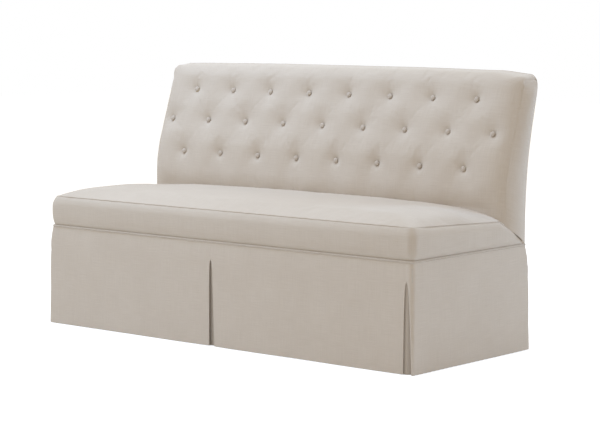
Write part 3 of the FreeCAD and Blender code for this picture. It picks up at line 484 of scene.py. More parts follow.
def boxingPlace(u, v):
    b = boxing
    corner = mix(b["cornerLow"], b["cornerHigh"], ease(0.30, 1.0, v))
    point, out = aroundFront(u, corner, rearY)
    low = weltZ + b["aboveWelt"]
    high = seamHeight(point.y)
    z = mix(low, high, v)
    tall = min((high - low) / b["tall"], 1)
    belly = b["belly"] * (1 - abs(2 * v - 1) ** (b["foot"] if v < 0.5 else b["shoulder"])) * tall
    fold = drift(point.x, point.y, z * 0.3, b["waveLong"], 9) * b["wave"] * math.sin(math.pi * v)
    fold += drift(point.x, point.y, 0, b["puckerLong"], 12) * b["pucker"] * ease(0.60, 0.95, v)
    edge = seatTop["seamInset"] * ease(0.72, 1.0, v) * (1 if point.y < 0.1 else tall)
    turned = abs(out.x * out.y) * 2
    dent = b["pinch"] * turned ** b["pinchPower"] * ease(0.42, 0.92, v) if point.y < 0 else 0.0
    # the seam sinks in under the top panel, and less so near the corners
    fromCorner = point.y - frontY
    if point.y < frontY + 0.03:
        fromCorner = endX - abs(point.x) + 0.02
    seamShown = mix(0.10, 1.0, ease(0.02, 0.10, fromCorner))
    tucked = ease(0.955, 1.0, v) * seamShown
    z -= b["tuckedDown"] * ease(0.90, 0.97, v) * seamShown
    return Vector((point.x, point.y, z)) + out * (belly + fold - edge - dent - b["tuckedIn"] * tucked)


boxingPiece = gridPiece("seatBoxing", boxing["columns"], boxing["rows"], boxingPlace, boxing["flat"])
pointOut(boxingPiece, (0, frontY, 0.42), (0, -1, 0))
thicken(boxingPiece, boxing["cloth"])
smooth(boxingPiece, 60)
boxingPiece.data.materials.append(skirtLinen)
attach(boxingPiece, "root")
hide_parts("seat_boxing")
print("boxing ready")


back = {
    "columns": 340,
    "rows": 130,
    "wide": 1.80,
    "low": 0.430,
    "bendZ": 0.530,
    "bendRadius": 0.5002,
    "rake": math.radians(18.49),
    "topRoll": 0.068,
    "endWidth": 0.100,
    "endDepth": 0.055,
    "endDrop": 0.010,
    "lastTurn": math.radians(75),
    "topEndRoll": 0.021,
    "rollShare": 0.075,
    "topFall": 0.0035,
    "cornerFall": 0.0110,
    "leftFallShare": 0.25,
    "buttonRows": ((0.866, 8), (0.752, 9), (0.628, 8)),
    "buttonShift": -0.005,
    "pitch": 0.1894,
    "pitchSlack": 0.01,
    "rowsApart": 0.15,
    "tuftDepth": 0.0220,
    "tuckUnder": 0.017,
    "tuckLow": 0.496,
    "tuckHigh": 0.562,
    "bowls": ((0.50, 0.019, 1.6), (0.50, 0.046, 1.9)),
    "bowlReach": 0.12,
    "pleatDepth": 0.0005,
    "pleatWide": 0.0035,
    "start": 0.004,
    "heldTop": 0.040,
    "loose": 0.0016,
    "looseLong": 0.11,
    "ripple": 0.0005,
    "rippleLong": 0.045,
    "rearBendZ": 0.420,
    "fill": {"pressure": 2.6, "stretch": 15, "shear": 5, "bend": 0.8,
             "slack": 0.0035, "cap": 0.022, "frames": 14},
    "cloth": 0.004,
}


def rollAt(slope):
    # width and depth of the rounded end, where the surface has this slope
    b = back
    share = ease(b["rake"], math.pi / 2, slope)
    return mix(b["endWidth"], b["topEndRoll"], share), mix(b["endDepth"], b["topEndRoll"], share)


def topFall(x, z):
    # the top edge falls a little towards its ends
    b = back
    corner = b["cornerFall"] * (b["leftFallShare"] if x < 0 else 1)
    fall = b["topFall"] * ease(0.30, 0.70, abs(x)) + corner * ease(0.68, 0.838, abs(x))
    return fall * ease(0.80, topZ, z)


def backPath():
    # the front profile as runs: each gives its length and a point and direction on it
    b = back
    rake, big, roll = b["rake"], b["bendRadius"], b["topRoll"]
    front = seatTop["backFront"]
    headY = front + big * (1 - math.cos(rake))
    headZ = b["bendZ"] + big * math.sin(rake)
    footZ = topZ - roll * (1 - math.sin(rake))
    footY = headY + (footZ - headZ) * math.tan(rake)
    rollY = footY + roll * math.cos(rake)
    return {
        "lengths": (b["bendZ"] - b["low"], big * rake, (footZ - headZ) / math.cos(rake),
                    roll * (math.pi / 2 - rake), rearTopY - outsideDeep - rollY),
        "head": (headY, headZ),
        "foot": (footY, footZ),
        "rollY": rollY,
    }


path = backPath()
backLength = sum(path["lengths"])


def backPoint(run):
    # place in Y and Z, and the slope of the outward normal, at a run up the front of the back
    b = back
    first, second, third, fourth = path["lengths"][:4]
    front = seatTop["backFront"]
    if run <= first:
        return front, b["low"] + run, 0.0
    run -= first
    if run <= second:
        turn = run / b["bendRadius"]
        return (front + b["bendRadius"] * (1 - math.cos(turn)),
                b["bendZ"] + b["bendRadius"] * math.sin(turn), turn)
    run -= second
    rake = b["rake"]
    if run <= third:
        return path["head"][0] + run * math.sin(rake), path["head"][1] + run * math.cos(rake), rake
    run -= third
    footY, footZ = path["foot"]
    roll = b["topRoll"]
    centreY, centreZ = footY + roll * math.cos(rake), footZ - roll * math.sin(rake)
    if run <= fourth:
        turn = rake + run / roll
        return centreY - roll * math.cos(turn), centreZ + roll * math.sin(turn), turn
    run -= fourth
    return path["rollY"] + run, topZ, math.pi / 2


def runAtHeight(z):
    # the run up the front face that reaches a height
    low, high = 0.0, sum(path["lengths"][:3])
    for step in range(40):
        middle = (low + high) / 2
        if backPoint(middle)[1] < z:
            low = middle
        else:
            high = middle
    return low


buttonSpots = []
for height, count in back["buttonRows"]:
    for i in range(count):
        buttonX = (i - (count - 1) / 2) * back["pitch"] + back["buttonShift"]
        buttonSpots.append((buttonX, runAtHeight(height), height))


def pleatLines():
    # the folds from each button to the next ones in the row below
    lines = []
    for x, run, height in buttonSpots:
        for otherX, otherRun, otherHeight in buttonSpots:
            nextRow = 0 < height - otherHeight < back["rowsApart"]
            if nextRow and abs(abs(otherX - x) - back["pitch"] / 2) < back["pitchSlack"]:
                lines.append(((x, run), (otherX, otherRun), random.uniform(0.2, 1.0)))
    return lines


folds = pleatLines()


def tuftPull(x, run):
    # how far the cover is drawn in at a point: wide bowls at the buttons, faint folds between
    b = back
    pull = 0.0
    for bx, brun, height in buttonSpots:
        dx, dr = x - bx, run - brun
        if abs(dx) > b["bowlReach"] or abs(dr) > b["bowlReach"]:
            continue
        reach = math.hypot(dx, dr)
        bowl = sum(share * math.exp(-((reach / wide) ** power)) for share, wide, power in b["bowls"])
        pull = max(pull, b["tuftDepth"] * bowl)
    for (ax, ar), (cx, cr), strength in folds:
        if x < min(ax, cx) - 0.02 or x > max(ax, cx) + 0.02:
            continue
        if run < min(ar, cr) - 0.02 or run > max(ar, cr) + 0.02:
            continue
        lx, lr = cx - ax, cr - ar
        length = math.hypot(lx, lr)
        along = ((x - ax) * lx + (run - ar) * lr) / length
        aside = abs((x - ax) * lr - (run - ar) * lx) / length
        near = min(abs(along), abs(length - along))
        depth = b["pleatDepth"] * strength * (0.10 + 0.90 * math.exp(-near / 0.030))
        pull += depth * math.exp(-((aside / b["pleatWide"]) ** 1.5)) * (1 if 0 < along < length else 0)
    return pull


def rearAt(z):
    # the rear face leans back on one arc
    bend = back["rearBendZ"]
    run = rearTopY - rearY
    rise = topZ - bend
    radius = (rise * rise + run * run) / (2 * run)
    if z <= bend:
        return rearY
    return rearY + radius - math.sqrt(radius * radius - (z - bend) ** 2)


def backEnds(u, width):
    # place along the bench and the turn of the rolled end there
    b = back
    side = abs(u * 2 - 1)
    flat = endX - b["endDrop"] - width * math.sin(b["lastTurn"])
    if side < 1 - b["rollShare"]:
        return math.copysign(flat * side / (1 - b["rollShare"]), u - 0.5), 0.0
    turn = (side - (1 - b["rollShare"])) / b["rollShare"] * b["lastTurn"]
    return math.copysign(flat + width * math.sin(turn), u - 0.5), turn


def backPlace(u, v):
    b = back
    run = v * backLength
    y, z, slope = backPoint(run)
    width, deep = rollAt(slope)
    x, turn = backEnds(u, width)
    inset = deep * (1 - math.cos(turn))
    pull = tuftPull(x, run) if turn < 1.2 else 0.0
    loose = drift(x, 0, run, b["looseLong"], 4) * b["loose"]
    loose += drift(x, 0, run, b["rippleLong"], 6) * b["ripple"]
    loose *= math.cos(turn) * ease(0, 0.05, run) * ease(0, 0.03, backLength - run)
    start = b["start"] * math.cos(turn) * ease(0, 0.06, run) * ease(0, 0.05, backLength - run)
    depth = inset + pull - loose + start
    place = Vector((x, y + depth * math.cos(slope), z - depth * math.sin(slope)))
    place.z -= topFall(x, place.z)
    if slope > 1.2:
        place.y = min(place.y, rearAt(place.z) - outsideDeep)
    return place


backPiece = gridPiece("tuftedBackCover", back["columns"], back["rows"], backPlace,
                      (back["wide"], backLength))
pointOut(backPiece, (0, 0.2, 0.7), (0, -1, 0))
buttonPlaces = [Vector((x, *backPoint(run)[:2])) for x, run, height in buttonSpots]
tied = {v.index for v in backPiece.data.vertices
        if min((v.co - place).length for place in buttonPlaces) < back["tuftDepth"] + 0.006}
heldTop = {v.index for v in backPiece.data.vertices if v.co.z > 0.9 and v.co.y > rearTopY - back["heldTop"]}
swell(backPiece, rim(backPiece) | tied | heldTop, back["fill"])
for vertex in backPiece.data.vertices:
    # the padding rolls in just above the seat
    above = (vertex.co.z - back["tuckLow"]) / (back["tuckHigh"] - back["tuckLow"])
    inward = (1 - min(max(above, 0), 1)) ** 2
    inward *= 1 - ease(endX - 0.14, endX - 0.03, abs(vertex.co.x))
    vertex.co.y += back["tuckUnder"] * inward
thicken(backPiece, back["cloth"])
smooth(backPiece, 60)
backPiece.data.materials.append(backLinen)
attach(backPiece, "root")
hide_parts("back_tufted_cover")
print("tufted back ready")


button = {
    "radius": 0.0098,
    "seat": 0.0192,
    "gathers": 12,
    "gathered": 0.03,
    "dome": 0.55,
    "foot": 0.35,
}


def coveredButtons():
    made = []
    for x, run, height in buttonSpots:
        deselectAll()
        bpy.ops.mesh.primitive_uv_sphere_add(segments=24, ring_count=12, radius=button["radius"])
        one = bpy.context.object
        for vertex in one.data.vertices:
            flat = math.hypot(vertex.co.x, vertex.co.y) / button["radius"]
            turn = math.atan2(vertex.co.y, vertex.co.x)
            ridge = 0.5 + 0.5 * math.cos(turn * button["gathers"])
            gather = 1 - button["gathered"] * ridge * ease(0.6, 1.0, flat)
            vertex.co.x *= gather
            vertex.co.y *= gather
            vertex.co.z *= button["dome"] if vertex.co.z > 0 else button["foot"]
        y, z, slope = backPoint(run)
        one.rotation_euler = Euler((math.pi / 2 - slope, 0, 0))
        seat = button["seat"]
        one.location = (x, y + seat * math.cos(slope), z - seat * math.sin(slope))
        placed(one)
        made.append(one)
    deselectAll()
    for one in made:
        one.select_set(True)
    bpy.context.view_layer.objects.active = made[0]
    bpy.ops.object.join()
    return named(bpy.context.object, "coveredButtons")


buttonPiece = coveredButtons()
smooth(buttonPiece, 60)
buttonPiece.data.materials.append(shadedSmallLinen)
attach(buttonPiece, "root")
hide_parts("back_buttons")
print("buttons ready")


def lastInset(slope):
    # how far in the rolled end has gone where the cover ends and the plain end begins
    return rollAt(slope)[1] * (1 - math.cos(back["lastTurn"]))


def sideFrontAt(z):
    # front edge of the plain end panel
    low, high = 0.0, sum(path["lengths"][:4])
    for step in range(30):
        middle = (low + high) / 2
        y, pz, slope = backPoint(middle)
        if pz - lastInset(slope) * math.sin(slope) < z:
            low = middle
        else:
            high = middle
    y, pz, slope = backPoint(low)
    return y + lastInset(slope) * math.cos(slope)


sidePanel = {
    "columns": 30,
    "rows": 90,
    "puff": 0.013,
    "topRoll": 0.10,
    "rearOut": 0.003,
    "rearIn": 0.003,
    "topOut": 0.006,
    "topTurn": 0.02,
    "low": 0.005,
    "tryZ": 0.6,
    "footZ": 0.45,
    "flat": (0.14, 0.5),
    "loose": 0.0016,
    "looseLong": 0.12,
    "cloth": 0.004,
}


def rearOutAt(z):
    # the ends stand a little wider towards the top
    return sidePanel["rearOut"] + sidePanel["topOut"] * ease(0.62, 0.94, z)


def sidePlacer(side):
    high = topZ - lastInset(math.pi / 2) - topFall(side * endX, topZ)

    def place(u, v):
        # the foot follows the seat's slope, so height and depth are found together
        y = mix(sideFrontAt(sidePanel["tryZ"]), rearY, u)
        for step in range(8):
            z = mix(seamHeight(min(max(y, 0.1), rearY)) - sidePanel["low"], high, v)
            y = mix(sideFrontAt(max(z, sidePanel["footZ"])), rearAt(z) - sidePanel["rearIn"], u)
        straight = (1 - v) / (1 - v + sidePanel["topTurn"])
        bulge = sidePanel["puff"] * 4 * u * (1 - u) * ease(0, sidePanel["topRoll"], 1 - v)
        x = endX + mix(-back["endDrop"], mix(-back["endDrop"], rearOutAt(z), straight), u) + bulge
        x += sidePanel["loose"] * drift(0, y, z, sidePanel["looseLong"], 3 + side) * min(u, 1 - u, 0.2) * 5
        return Vector((side * x, y, z))

    return place


endPieces = []
for side, word in ((-1, "left"), (1, "right")):
    piece = gridPiece(word + "BackEnd", sidePanel["columns"], sidePanel["rows"],
                      sidePlacer(side), sidePanel["flat"])
    pointOut(piece, (side * endX, 0.25, 0.7), (side, 0, 0))
    thicken(piece, sidePanel["cloth"])
    smooth(piece, 60)
    piece.data.materials.append(backLinen)
    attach(piece, "root")
    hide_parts(word + "_back_side_panel")
    endPieces.append(piece)


outside = {
    "columns": 150,
    "rows": 70,
    "aboveWelt": 0.0045,
    "sag": 0.0014,
    "sagLong": 0.22,
    "drawnIn": 0.0002,
    "flush": 0.0006,
    "flat": (1.7, 0.62),
    "cloth": 0.004,
}


def outsidePlace(u, v):
    x, turn = backEnds(u, back["topEndRoll"])
    top = topZ - back["topEndRoll"] * (1 - math.cos(turn))
    z = mix(weltZ + outside["aboveWelt"], top, v)
    z -= topFall(x, z)
    straight = (1 - v) / (1 - v + sidePanel["topTurn"])
    wide = endX - back["endDrop"] + (back["endDrop"] + rearOutAt(z)) * straight
    x *= wide / (endX - back["endDrop"])
    edge = min((1 - abs(u * 2 - 1)) * 6, v * 5, (1 - v) * 8, 1.0)
    sag = drift(x, 0, z, outside["sagLong"], 8) * outside["sag"] * edge
    return Vector((x * (1 - outside["drawnIn"]), rearAt(z) + sag - outside["flush"], z))


outsidePiece = gridPiece("outsideBack", outside["columns"], outside["rows"], outsidePlace, outside["flat"])
pointOut(outsidePiece, (0, 0.33, 0.7), (0, 1, 0))
thicken(outsidePiece, outside["cloth"])
smooth(outsidePiece, 60)
outsidePiece.data.materials.append(backLinen)
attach(outsidePiece, "root")
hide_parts("outside_back_panel")
print("back ends and rear ready")


welt = {"radius": 0.0038, "cornerRadius": 0.0100, "proud": 0.0050}


def weltPiece():
    deselectAll()
    bpy.ops.mesh.primitive_plane_add(size=1)
    cord = named(bpy.context.object, "seatWelt")
    low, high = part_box("seat_welt")
    half = welt["radius"] - welt["proud"]
    cord.scale = (high.x - low.x - 2 * half, high.y - low.y - 2 * half, 1)
    cord.location = (0, (high.y + low.y) / 2, weltZ)
    placed(cord)
    bpy.ops.object.mode_set(mode="EDIT")
    bpy.ops.mesh.select_all(action="SELECT")
    bpy.ops.mesh.delete(type="ONLY_FACE")
    bpy.ops.mesh.select_all(action="SELECT")
    bpy.ops.mesh.bevel(offset=welt["cornerRadius"], segments=6, affect="VERTICES")
    bpy.ops.object.mode_set(mode="OBJECT")
    bpy.ops.object.convert(target="CURVE")
    cord = bpy.context.object
    cord.data.bevel_depth = welt["radius"]
    cord.data.bevel_resolution = 3
    bpy.ops.object.convert(target="MESH")
    return named(bpy.context.object, "seatWelt")


cordPiece = weltPiece()
smooth(cordPiece, 60)
cordPiece.data.materials.append(shadedSmallLinen)
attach(cordPiece, "root")
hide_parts("seat_welt")
print("welt ready")


skirt = {
    "topZ": weltZ - welt["radius"],
    "stitchZ": 0.300,
    "hemZ": 0.0016,
    "topFlare": 0.0048,
    "shoulderFlare": 0.0115,
    "hemFlare": 0.0160,
    "cornerTurn": 0.006,
    "softTurn": 0.014,
    "cloth": 0.0016,
    "wall": 0.00112,
    "fold": 0.042,
    "foldGap": 0.0004,
    "centreGap": 0.026,
    "shortTop": 0.0250,
    "shortHem": 0.0400,
    "wrapTop": 0.0260,
    "wrapHem": 0.0015,
    "centreAt": -0.0285,
    "centreLean": 0.0085,
    "openShare": 0.27,
    "closed": 0.0005,
    "foldColumns": 6,
    "rows": 44,
    "sway": 0.0022,
    "swayLong": 0.23,
    "ripple": 0.0006,
    "rippleLong": 0.07,
    "hemLift": 0.0012,
    "hemLiftLong": 0.3,
    "within": 0.0008,
}


def flareAt(z):
    # the skirt stands off more towards the hem, and quickly at first under the welt
    s = skirt
    if z > s["stitchZ"]:
        raised = (z - s["stitchZ"]) / (s["topZ"] - s["stitchZ"])
        return mix(s["shoulderFlare"], s["topFlare"], raised ** 1.5)
    return mix(s["hemFlare"], s["shoulderFlare"], (z - s["hemZ"]) / (s["stitchZ"] - s["hemZ"]))


def openAt(z):
    # the pleats are sewn shut above the stitch and open below it
    s = skirt
    if z > s["stitchZ"]:
        return 0.0
    return ((s["stitchZ"] - z) / (s["stitchZ"] - s["hemZ"])) ** s["openShare"]


def skirtPiece(name, node, startAt, endAt, plan, columns, seed, flat):
    # a flat front with a return folded in behind each end; plan gives the place seen from above
    s = skirt
    deep = s["cloth"] + s["foldGap"]
    folds = s["foldColumns"]

    def place(u, v):
        z = mix(s["hemZ"], s["topZ"], v)
        start, end = startAt(z), endAt(z)
        share = u * (columns + 2 * folds) - folds
        flare = flareAt(z)
        free = openAt(z)
        past = min(max(-share, share - columns, 0), folds) / folds
        folded = s["fold"] * max(past - 1 / folds, 0) * folds / (folds - 1)
        outward = -deep * min(past * folds, 1)
        if share < 0:
            along = start + folded
        elif share > columns:
            along = end - folded
        else:
            along = mix(start, end, share / columns)
        wave = drift(along, seed, z * 0.25, s["swayLong"], seed) * s["sway"] * free
        wave += drift(along, seed, z * 0.2, s["rippleLong"], seed + 2) * s["ripple"] * free
        lift = drift(along, 0, 0, s["hemLiftLong"], seed + 4) * s["hemLift"] * free
        x, y = plan(along, outward + flare + wave, z)
        return Vector((x, y, z + lift * (1 if v < 0.5 else 0)))

    piece = gridPiece(name, columns + 2 * folds, s["rows"], place, flat)
    thicken(piece, s["wall"], offset=0)
    smooth(piece, 50)
    piece.data.materials.append(skirtLinen)
    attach(piece, "root")
    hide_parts(node)


def roundCorner(along, outward, edge, arc):
    # a panel that reaches past a corner turns round it on a small arc
    past = along - (edge + outward - arc)
    if past <= 0:
        return along, 0.0
    turn = past / arc
    if turn < math.pi / 2:
        return along - past + arc * math.sin(turn), arc * (1 - math.cos(turn))
    return along - past + arc, arc + past - arc * math.pi / 2


def softArc(z):
    # the right front corner is round under the welt and nearly sharp at the hem
    return mix(skirt["cornerTurn"], skirt["softTurn"], ease(skirt["hemZ"], skirt["stitchZ"], z))


def flatPlan(halfWidth):
    # turns a place on a panel to one along it and how far in it has gone at its corners
    def plan(along, outward, arc=skirt["cornerTurn"]):
        run, sunk = roundCorner(abs(along), outward, halfWidth, arc)
        return math.copysign(run, along), outward - sunk
    return plan


halfDeep = (rearY - frontY) / 2
middleY = (rearY + frontY) / 2
within = skirt["within"]
widePlan, deepPlan = flatPlan(endX - within), flatPlan(halfDeep - within)


def frontPlan(along, outward, z):
    run, out = widePlan(along, outward)
    return run, frontY - out + within


def rearPlan(along, outward, z):
    run, out = widePlan(along, outward)
    return -run, rearY + out - within


def leftPlan(along, outward, z):
    run, out = deepPlan(along, outward)
    return -endX - out + within, middleY - run


def rightPlan(along, outward, z):
    run, out = deepPlan(along, outward, softArc(z) if along < 0 else skirt["cornerTurn"])
    return endX + out - within, middleY + run


def centreEdge(side):
    # the edges of the middle opening, which leans a little as it hangs
    def edge(z):
        s = skirt
        low = 0.5 - (z - s["hemZ"]) / (s["stitchZ"] - s["hemZ"])
        middle = s["centreAt"] + s["centreLean"] * max(low, -0.5)
        return middle + side * mix(s["closed"], s["centreGap"], openAt(z)) / 2
    return edge


def shortOf(half):
    # a panel that stops before the corner
    return lambda z: half + flareAt(z) - mix(skirt["shortTop"], skirt["shortHem"], openAt(z))


def roundTo(half, arcAt=lambda z: skirt["cornerTurn"]):
    # a panel that goes round the corner
    def edge(z):
        spare = arcAt(z) * (math.pi / 2 - 2)
        return half + flareAt(z) + mix(skirt["wrapTop"], skirt["wrapHem"], openAt(z)) + spare
    return edge


skirtTall = skirt["topZ"] - skirt["hemZ"]
wideShort, wideRound = shortOf(endX), roundTo(endX)
deepShort, deepRound = shortOf(halfDeep), roundTo(halfDeep)
softRound = roundTo(halfDeep, softArc)
skirtPiece("frontLeftSkirt", "front_left_skirt", lambda z: -wideRound(z), centreEdge(-1),
           frontPlan, 96, 1, (0.93, skirtTall))
skirtPiece("frontRightSkirt", "front_right_skirt", centreEdge(1), wideShort,
           frontPlan, 90, 2, (0.925, skirtTall))
skirtPiece("rearSkirt", "rear_skirt", lambda z: -wideShort(z), wideShort,
           rearPlan, 150, 3, (1.75, skirtTall))
skirtPiece("rightSkirt", "right_skirt", lambda z: -softRound(z), deepRound,
           rightPlan, 90, 4, (0.755, skirtTall))
skirtPiece("leftSkirt", "left_skirt", lambda z: -deepRound(z), deepShort,
           leftPlan, 80, 5, (0.735, skirtTall))
print("skirt ready")


insert = {
    "half": 0.075,
    "leg": 0.150,
    "behind": 0.0038,
    "deep": 0.0085,
    "centreDeep": 0.0145,
    "sink": 0.009,
    "sinkWide": 0.014,
    "topZ": 0.346,
    "cloth": 0.0012,
    "columns": 24,
    "cornerColumns": 40,
    "rows": 40,
}


def insertPiece(name, node, place, columns, flat):
    piece = gridPiece(name, columns, insert["rows"], place, flat)
    thicken(piece, insert["cloth"], offset=0)
    smooth(piece, 50)
    piece.data.materials.append(shadedInsertLinen)
    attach(piece, "root")
    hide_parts(node)


def behindAt(z, deep):
    # the insert lies close behind the panels where they are sewn and falls back where they open
    return mix(insert["behind"], deep, openAt(z))


def centreInsert(u, v):
    z = mix(skirt["hemZ"], insert["topZ"], v)
    y = frontY - flareAt(z) + behindAt(z, insert["centreDeep"])
    return Vector((mix(-1, 1, u) * insert["half"], y, z))


insertPiece("centrePleatInsert", "centre_pleat_insert", centreInsert, insert["columns"], (0.15, 0.34))


def cornerInsert(side, front):
    plane = frontY if front else rearY
    way = -1 if front else 1

    def place(u, v):
        z = mix(skirt["hemZ"], insert["topZ"], v)
        run = (u * 2 - 1) * insert["leg"]
        sunk = insert["sink"] * openAt(z) * math.exp(-(run / insert["sinkWide"]) ** 2)
        near = flareAt(z) - behindAt(z, insert["deep"]) - sunk
        x, y = endX + near, plane + way * near
        if run < 0:
            return Vector((side * (x + run), y, z))
        return Vector((side * x, y - way * run, z))

    return place


for side, sideWord in ((-1, "Left"), (1, "Right")):
    for front, endWord in ((True, "front"), (False, "rear")):
        node = endWord + "_" + sideWord.lower() + "_pleat_insert"
        insertPiece(endWord + sideWord + "PleatInsert", node, cornerInsert(side, front),
                    insert["cornerColumns"], (0.30, 0.34))
print("pleat inserts ready")


def woodMaterial(name, light, dark, along):
    material, wire, surface = startMaterial(name, rough=0.55)
    space = wire.node("ShaderNodeTexCoord", pick=3)
    scales = [60.0, 60.0, 60.0]
    scales["XYZ".index(along)] = 3.0
    grain = spread(wire, space, tuple(scales), detail=5.0, seed=2.2)
    fine = spread(wire, space, tuple(v * 5 for v in scales), detail=3.0, seed=5.7)
    tone = (grain - 0.5) * 2.2 + (fine - 0.5) * 0.8 + 0.5
    feed(surface, "Base Color", blended(wire, tone, dark, light))
    feed(surface, "Roughness", (fine - 0.5) * 0.3 + 0.55)
    feed(surface, "Normal", raisedBy(wire, fine, 0.3, 0.0003))
    return material


def grainedMaterial(name, light, dark, scale, rough, metal=0.0, height=0.0004):
    material, wire, surface = startMaterial(name, rough=rough, metal=metal)
    space = wire.node("ShaderNodeTexCoord", pick=3)
    grain = spread(wire, space, (scale, scale, scale), detail=4.0, seed=4.4)
    feed(surface, "Base Color", blended(wire, (grain - 0.5) * 2.4 + 0.5, dark, light))
    feed(surface, "Roughness", (grain - 0.5) * 0.2 + rough)
    feed(surface, "Normal", raisedBy(wire, grain, 0.4, height))
    return material


def wovenMaterial(name, light, dark, pitch):
    material, wire, surface = startMaterial(name, rough=0.9)
    space = wire.node("ShaderNodeTexCoord", pick=3)
    split = wire.node("ShaderNodeSeparateXYZ", None, {"Vector": space})
    outs = [Wire(wire.tree, split.socket.node.outputs[i]) for i in range(3)]
    turn = 2 * math.pi / pitch
    threads = (outs[0] * turn).sine().size() * 0.5 + ((outs[1] + outs[2]) * turn).sine().size() * 0.5
    patches = spread(wire, space, (40.0, 40.0, 40.0), seed=6.1)
    feed(surface, "Base Color", blended(wire, threads * 0.7 + (patches - 0.5) * 0.6 + 0.1, dark, light))
    feed(surface, "Normal", raisedBy(wire, threads, 0.5, 0.0004))
    return material


railWood = woodMaterial("railWood", (0.62, 0.44, 0.26, 1), (0.45, 0.29, 0.15, 1), "X")
crossWood = woodMaterial("crossWood", (0.60, 0.42, 0.25, 1), (0.44, 0.28, 0.15, 1), "Y")
postWood = woodMaterial("postWood", (0.61, 0.43, 0.26, 1), (0.45, 0.29, 0.16, 1), "Z")
legWood = woodMaterial("legWood", (0.15, 0.085, 0.045, 1), (0.06, 0.032, 0.018, 1), "Z")
glidePlastic = grainedMaterial("glidePlastic", (0.03, 0.03, 0.03, 1), (0.015, 0.015, 0.015, 1), 600,
                               rough=0.6)
plateSteel = grainedMaterial("plateSteel", (0.62, 0.62, 0.63, 1), (0.45, 0.45, 0.47, 1), 400,
                             rough=0.35, metal=1.0)
springSteel = grainedMaterial("springSteel", (0.30, 0.29, 0.28, 1), (0.16, 0.155, 0.15, 1), 500,
                              rough=0.4, metal=1.0)
foam = grainedMaterial("foam", (0.86, 0.78, 0.52, 1), (0.76, 0.66, 0.40, 1), 500, rough=0.95, height=0.0012)
burlap = wovenMaterial("burlap", (0.42, 0.30, 0.16, 1), (0.22, 0.14, 0.07, 1), 0.004)
jute = wovenMaterial("jute", (0.52, 0.40, 0.24, 1), (0.34, 0.24, 0.13, 1), 0.003)
twine = wovenMaterial("twine", (0.70, 0.60, 0.42, 1), (0.50, 0.41, 0.27, 1), 0.0012)
card = grainedMaterial("card", (0.40, 0.30, 0.19, 1), (0.30, 0.22, 0.13, 1), 300, rough=0.85)
cambric = wovenMaterial("cambric", (0.035, 0.035, 0.036, 1), (0.015, 0.015, 0.016, 1), 0.0016)


rigid = {
    railWood: ("front_rail", "rear_rail", "back_bottom_rail", "back_top_rail"),
    crossWood: ("left_side_rail", "right_side_rail", "left_cross_rail", "centre_cross_rail",
                "right_cross_rail"),
    postWood: ("left_end_post", "right_end_post", "left_middle_post", "right_middle_post", "corner_blocks"),
    legWood: ("front_left_leg", "front_centre_leg", "front_right_leg",
              "rear_left_leg", "rear_centre_leg", "rear_right_leg"),
    glidePlastic: ("leg_glides",),
    plateSteel: ("leg_plates", "spring_clips"),
    springSteel: ("seat_springs",),
    card: ("tie_toggles", "skirt_tack_strips"),
}
for material, nodes in rigid.items():
    for node in nodes:
        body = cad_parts[node]
        body.data.materials.clear()
        body.data.materials.append(material)


def hiddenCloth(node, name, material, slot):
    # a soft layer under the cover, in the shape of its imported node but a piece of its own
    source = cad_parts[node]
    piece = source.copy()
    piece.data = source.data.copy()
    piece.parent = None
    for key in list(piece.keys()):
        del piece[key]
    bpy.context.scene.collection.objects.link(piece)
    named(piece, name)
    only(piece)
    bpy.ops.object.mode_set(mode="EDIT")
    bpy.ops.mesh.select_all(action="SELECT")
    bpy.ops.mesh.remove_doubles(threshold=0.00005)
    bpy.ops.object.mode_set(mode="OBJECT")
    piece.data.materials.clear()
    piece.data.materials.append(material)
    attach(piece, "root")
    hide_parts(node)
    return piece


leftWay, rightWay, frontWay, upWay = (-1, 0, 0), (1, 0, 0), (0, -1, 0), (0, 0, 1)
fillings = {
    "seat": ((seatPiece, upWay, 0.30), (boxingPiece, frontWay, 0.20), (boxingPiece, leftWay, 0.70),
             (boxingPiece, rightWay, 0.70)),
    "back": ((backPiece, frontWay, -0.36), (backPiece, upWay, 0.86), (backPiece, leftWay, 0.70),
             (backPiece, rightWay, 0.70), (endPieces[0], leftWay, 0.70), (endPieces[1], rightWay, 0.70)),
}
for word, covers in fillings.items():
    piece = hiddenCloth(word + "_foam", word + "Foam", foam, "foam")
    only(piece)
    piece.data.remesh_voxel_size = 0.008
    bpy.ops.object.voxel_remesh()
    for cover, way, beyond in covers:
        tuckUnder(piece, cover, way, beyond)
    smooth(piece, 40)
innerCloth = (
    ("spring_cover", "springCover", burlap, "burlap", (1.603, 0.602), "seat_springs"),
    ("back_webbing", "backWebbing", jute, "webbing", (1.667, 0.255), "back_top_rail"),
    ("back_burlap", "backBurlap", burlap, "burlap", (1.591, 0.524), "backWebbing"),
    ("dust_cover", "dustCover", cambric, "cambric", (1.667, 0.615), "front_rail"),
)
for node, name, material, slot, flat, restsOn in innerCloth:
    piece = hiddenCloth(node, name, material, slot)
    smooth(piece, 40)
ties = hiddenCloth("button_ties", "buttonTies", twine, "twine")
tuckUnder(ties, backPiece, frontWay, -0.36, gap=0.012)
smooth(ties, 40)
print("inner parts ready")


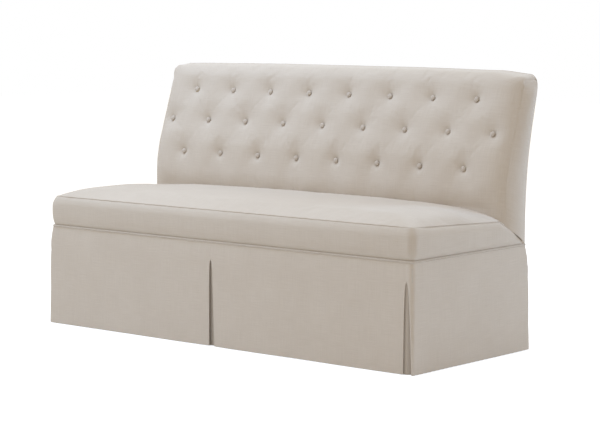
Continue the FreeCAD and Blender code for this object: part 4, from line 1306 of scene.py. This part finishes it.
studio = {
    "floorColour": (0.86, 0.86, 0.86, 1),
    "floorGlow": 0.76,
    "floorTint": (0.92, 0.96, 1.0, 1),
    "ambient": 0.520,
    "ambientColour": (1.0, 0.83, 0.61, 1),
    "lamps": (
        ("overhead", (-0.9, -0.9, 3.4), (0, 0, 0.5), (3.2, 2.4), 82.0, (0.605, 0.77, 1.0)),
        ("leftNear", (-2.1, -2.4, 2.0), (-0.8, 0, 0.5), (1.2, 1.2), 7.0, (0.57, 0.79, 1.0)),
        ("rightBack", (3.4, 3.2, 2.2), (0.6, 0.1, 0.7), (1.4, 1.4), 70.0, (0.475, 0.695, 1.0)),
        ("frontRight", (4.4, -2.3, 1.6), (0.6, -0.2, 0.5), (1.6, 1.6), 4.0, (0.50, 0.72, 1.0)),
        ("overRear", (0.3, 2.4, 3.2), (0, 0, 0.6), (3.0, 1.4), 23.0, (0.86, 0.97, 1.0)),
    ),
    "camera": (4.7137, -5.4419, 1.1877),
    "tilt": (84.103, 0.0, 40.497),
    "lens": 120.93,
}


def seenRays(wire):
    # one for rays that come from the camera, also by way of a mirror or glass
    rays = wire.node("ShaderNodeLightPath")
    glossy, passed = (rays.socket.node.outputs[name] for name in ("Is Glossy Ray", "Is Transmission Ray"))
    return rays + Wire(wire.tree, glossy) + Wire(wire.tree, passed)


def floorMaterial():
    material = bpy.data.materials.new("studioFloor")
    material.use_nodes = True
    tree = material.node_tree
    tree.nodes.clear()
    wire = Wire(tree)
    lit = wire.node("ShaderNodeBsdfDiffuse", None, {"Color": studio["floorColour"]})
    glow = wire.node("ShaderNodeEmission", None,
                     {"Color": studio["floorTint"], "Strength": seenRays(wire) * studio["floorGlow"]})
    both = wire.node("ShaderNodeAddShader", None, {0: lit, 1: glow})
    out = tree.nodes.new("ShaderNodeOutputMaterial")
    tree.links.new(both.socket, out.inputs["Surface"])
    return material


deselectAll()
bpy.ops.mesh.primitive_plane_add(size=30, location=(0, 0, 0))
floor = named(bpy.context.object, "studioFloorPlane")
placed(floor)
floor.data.materials.append(floorMaterial())

world = bpy.data.worlds.new("studio")
bpy.context.scene.world = world
world.use_nodes = True
sky = Wire(world.node_tree)
world.node_tree.nodes.clear()
plain = sky.node("ShaderNodeBackground", None,
                 {"Color": studio["ambientColour"], "Strength": studio["ambient"]})
white = sky.node("ShaderNodeBackground", None, {"Color": (1, 1, 1, 1), "Strength": 1.0})
both = sky.node("ShaderNodeMixShader", None, {0: seenRays(sky).sum("MINIMUM", 1.0), 1: plain, 2: white})
out = world.node_tree.nodes.new("ShaderNodeOutputWorld")
world.node_tree.links.new(both.socket, out.inputs["Surface"])


def softLamp(name, location, target, size, power, colour):
    light = bpy.data.lights.new(name, "AREA")
    light.shape = "RECTANGLE"
    light.size, light.size_y = size
    light.energy = power
    light.color = colour
    lamp = bpy.data.objects.new(name, light)
    bpy.context.scene.collection.objects.link(lamp)
    lamp.location = location
    lamp.rotation_euler = (Vector(target) - Vector(location)).to_track_quat("-Z", "Y").to_euler()


for lampSettings in studio["lamps"]:
    softLamp(*lampSettings)

camera = bpy.data.cameras.new("photoCamera")
camera.sensor_width = 36
camera.lens = studio["lens"]
cameraRig = bpy.data.objects.new("photoCamera", camera)
bpy.context.scene.collection.objects.link(cameraRig)
cameraRig.location = studio["camera"]
cameraRig.rotation_euler = [math.radians(v) for v in studio["tilt"]]
bpy.context.scene.camera = cameraRig
bpy.context.scene.view_settings.view_transform = "Standard"
print("studio ready")
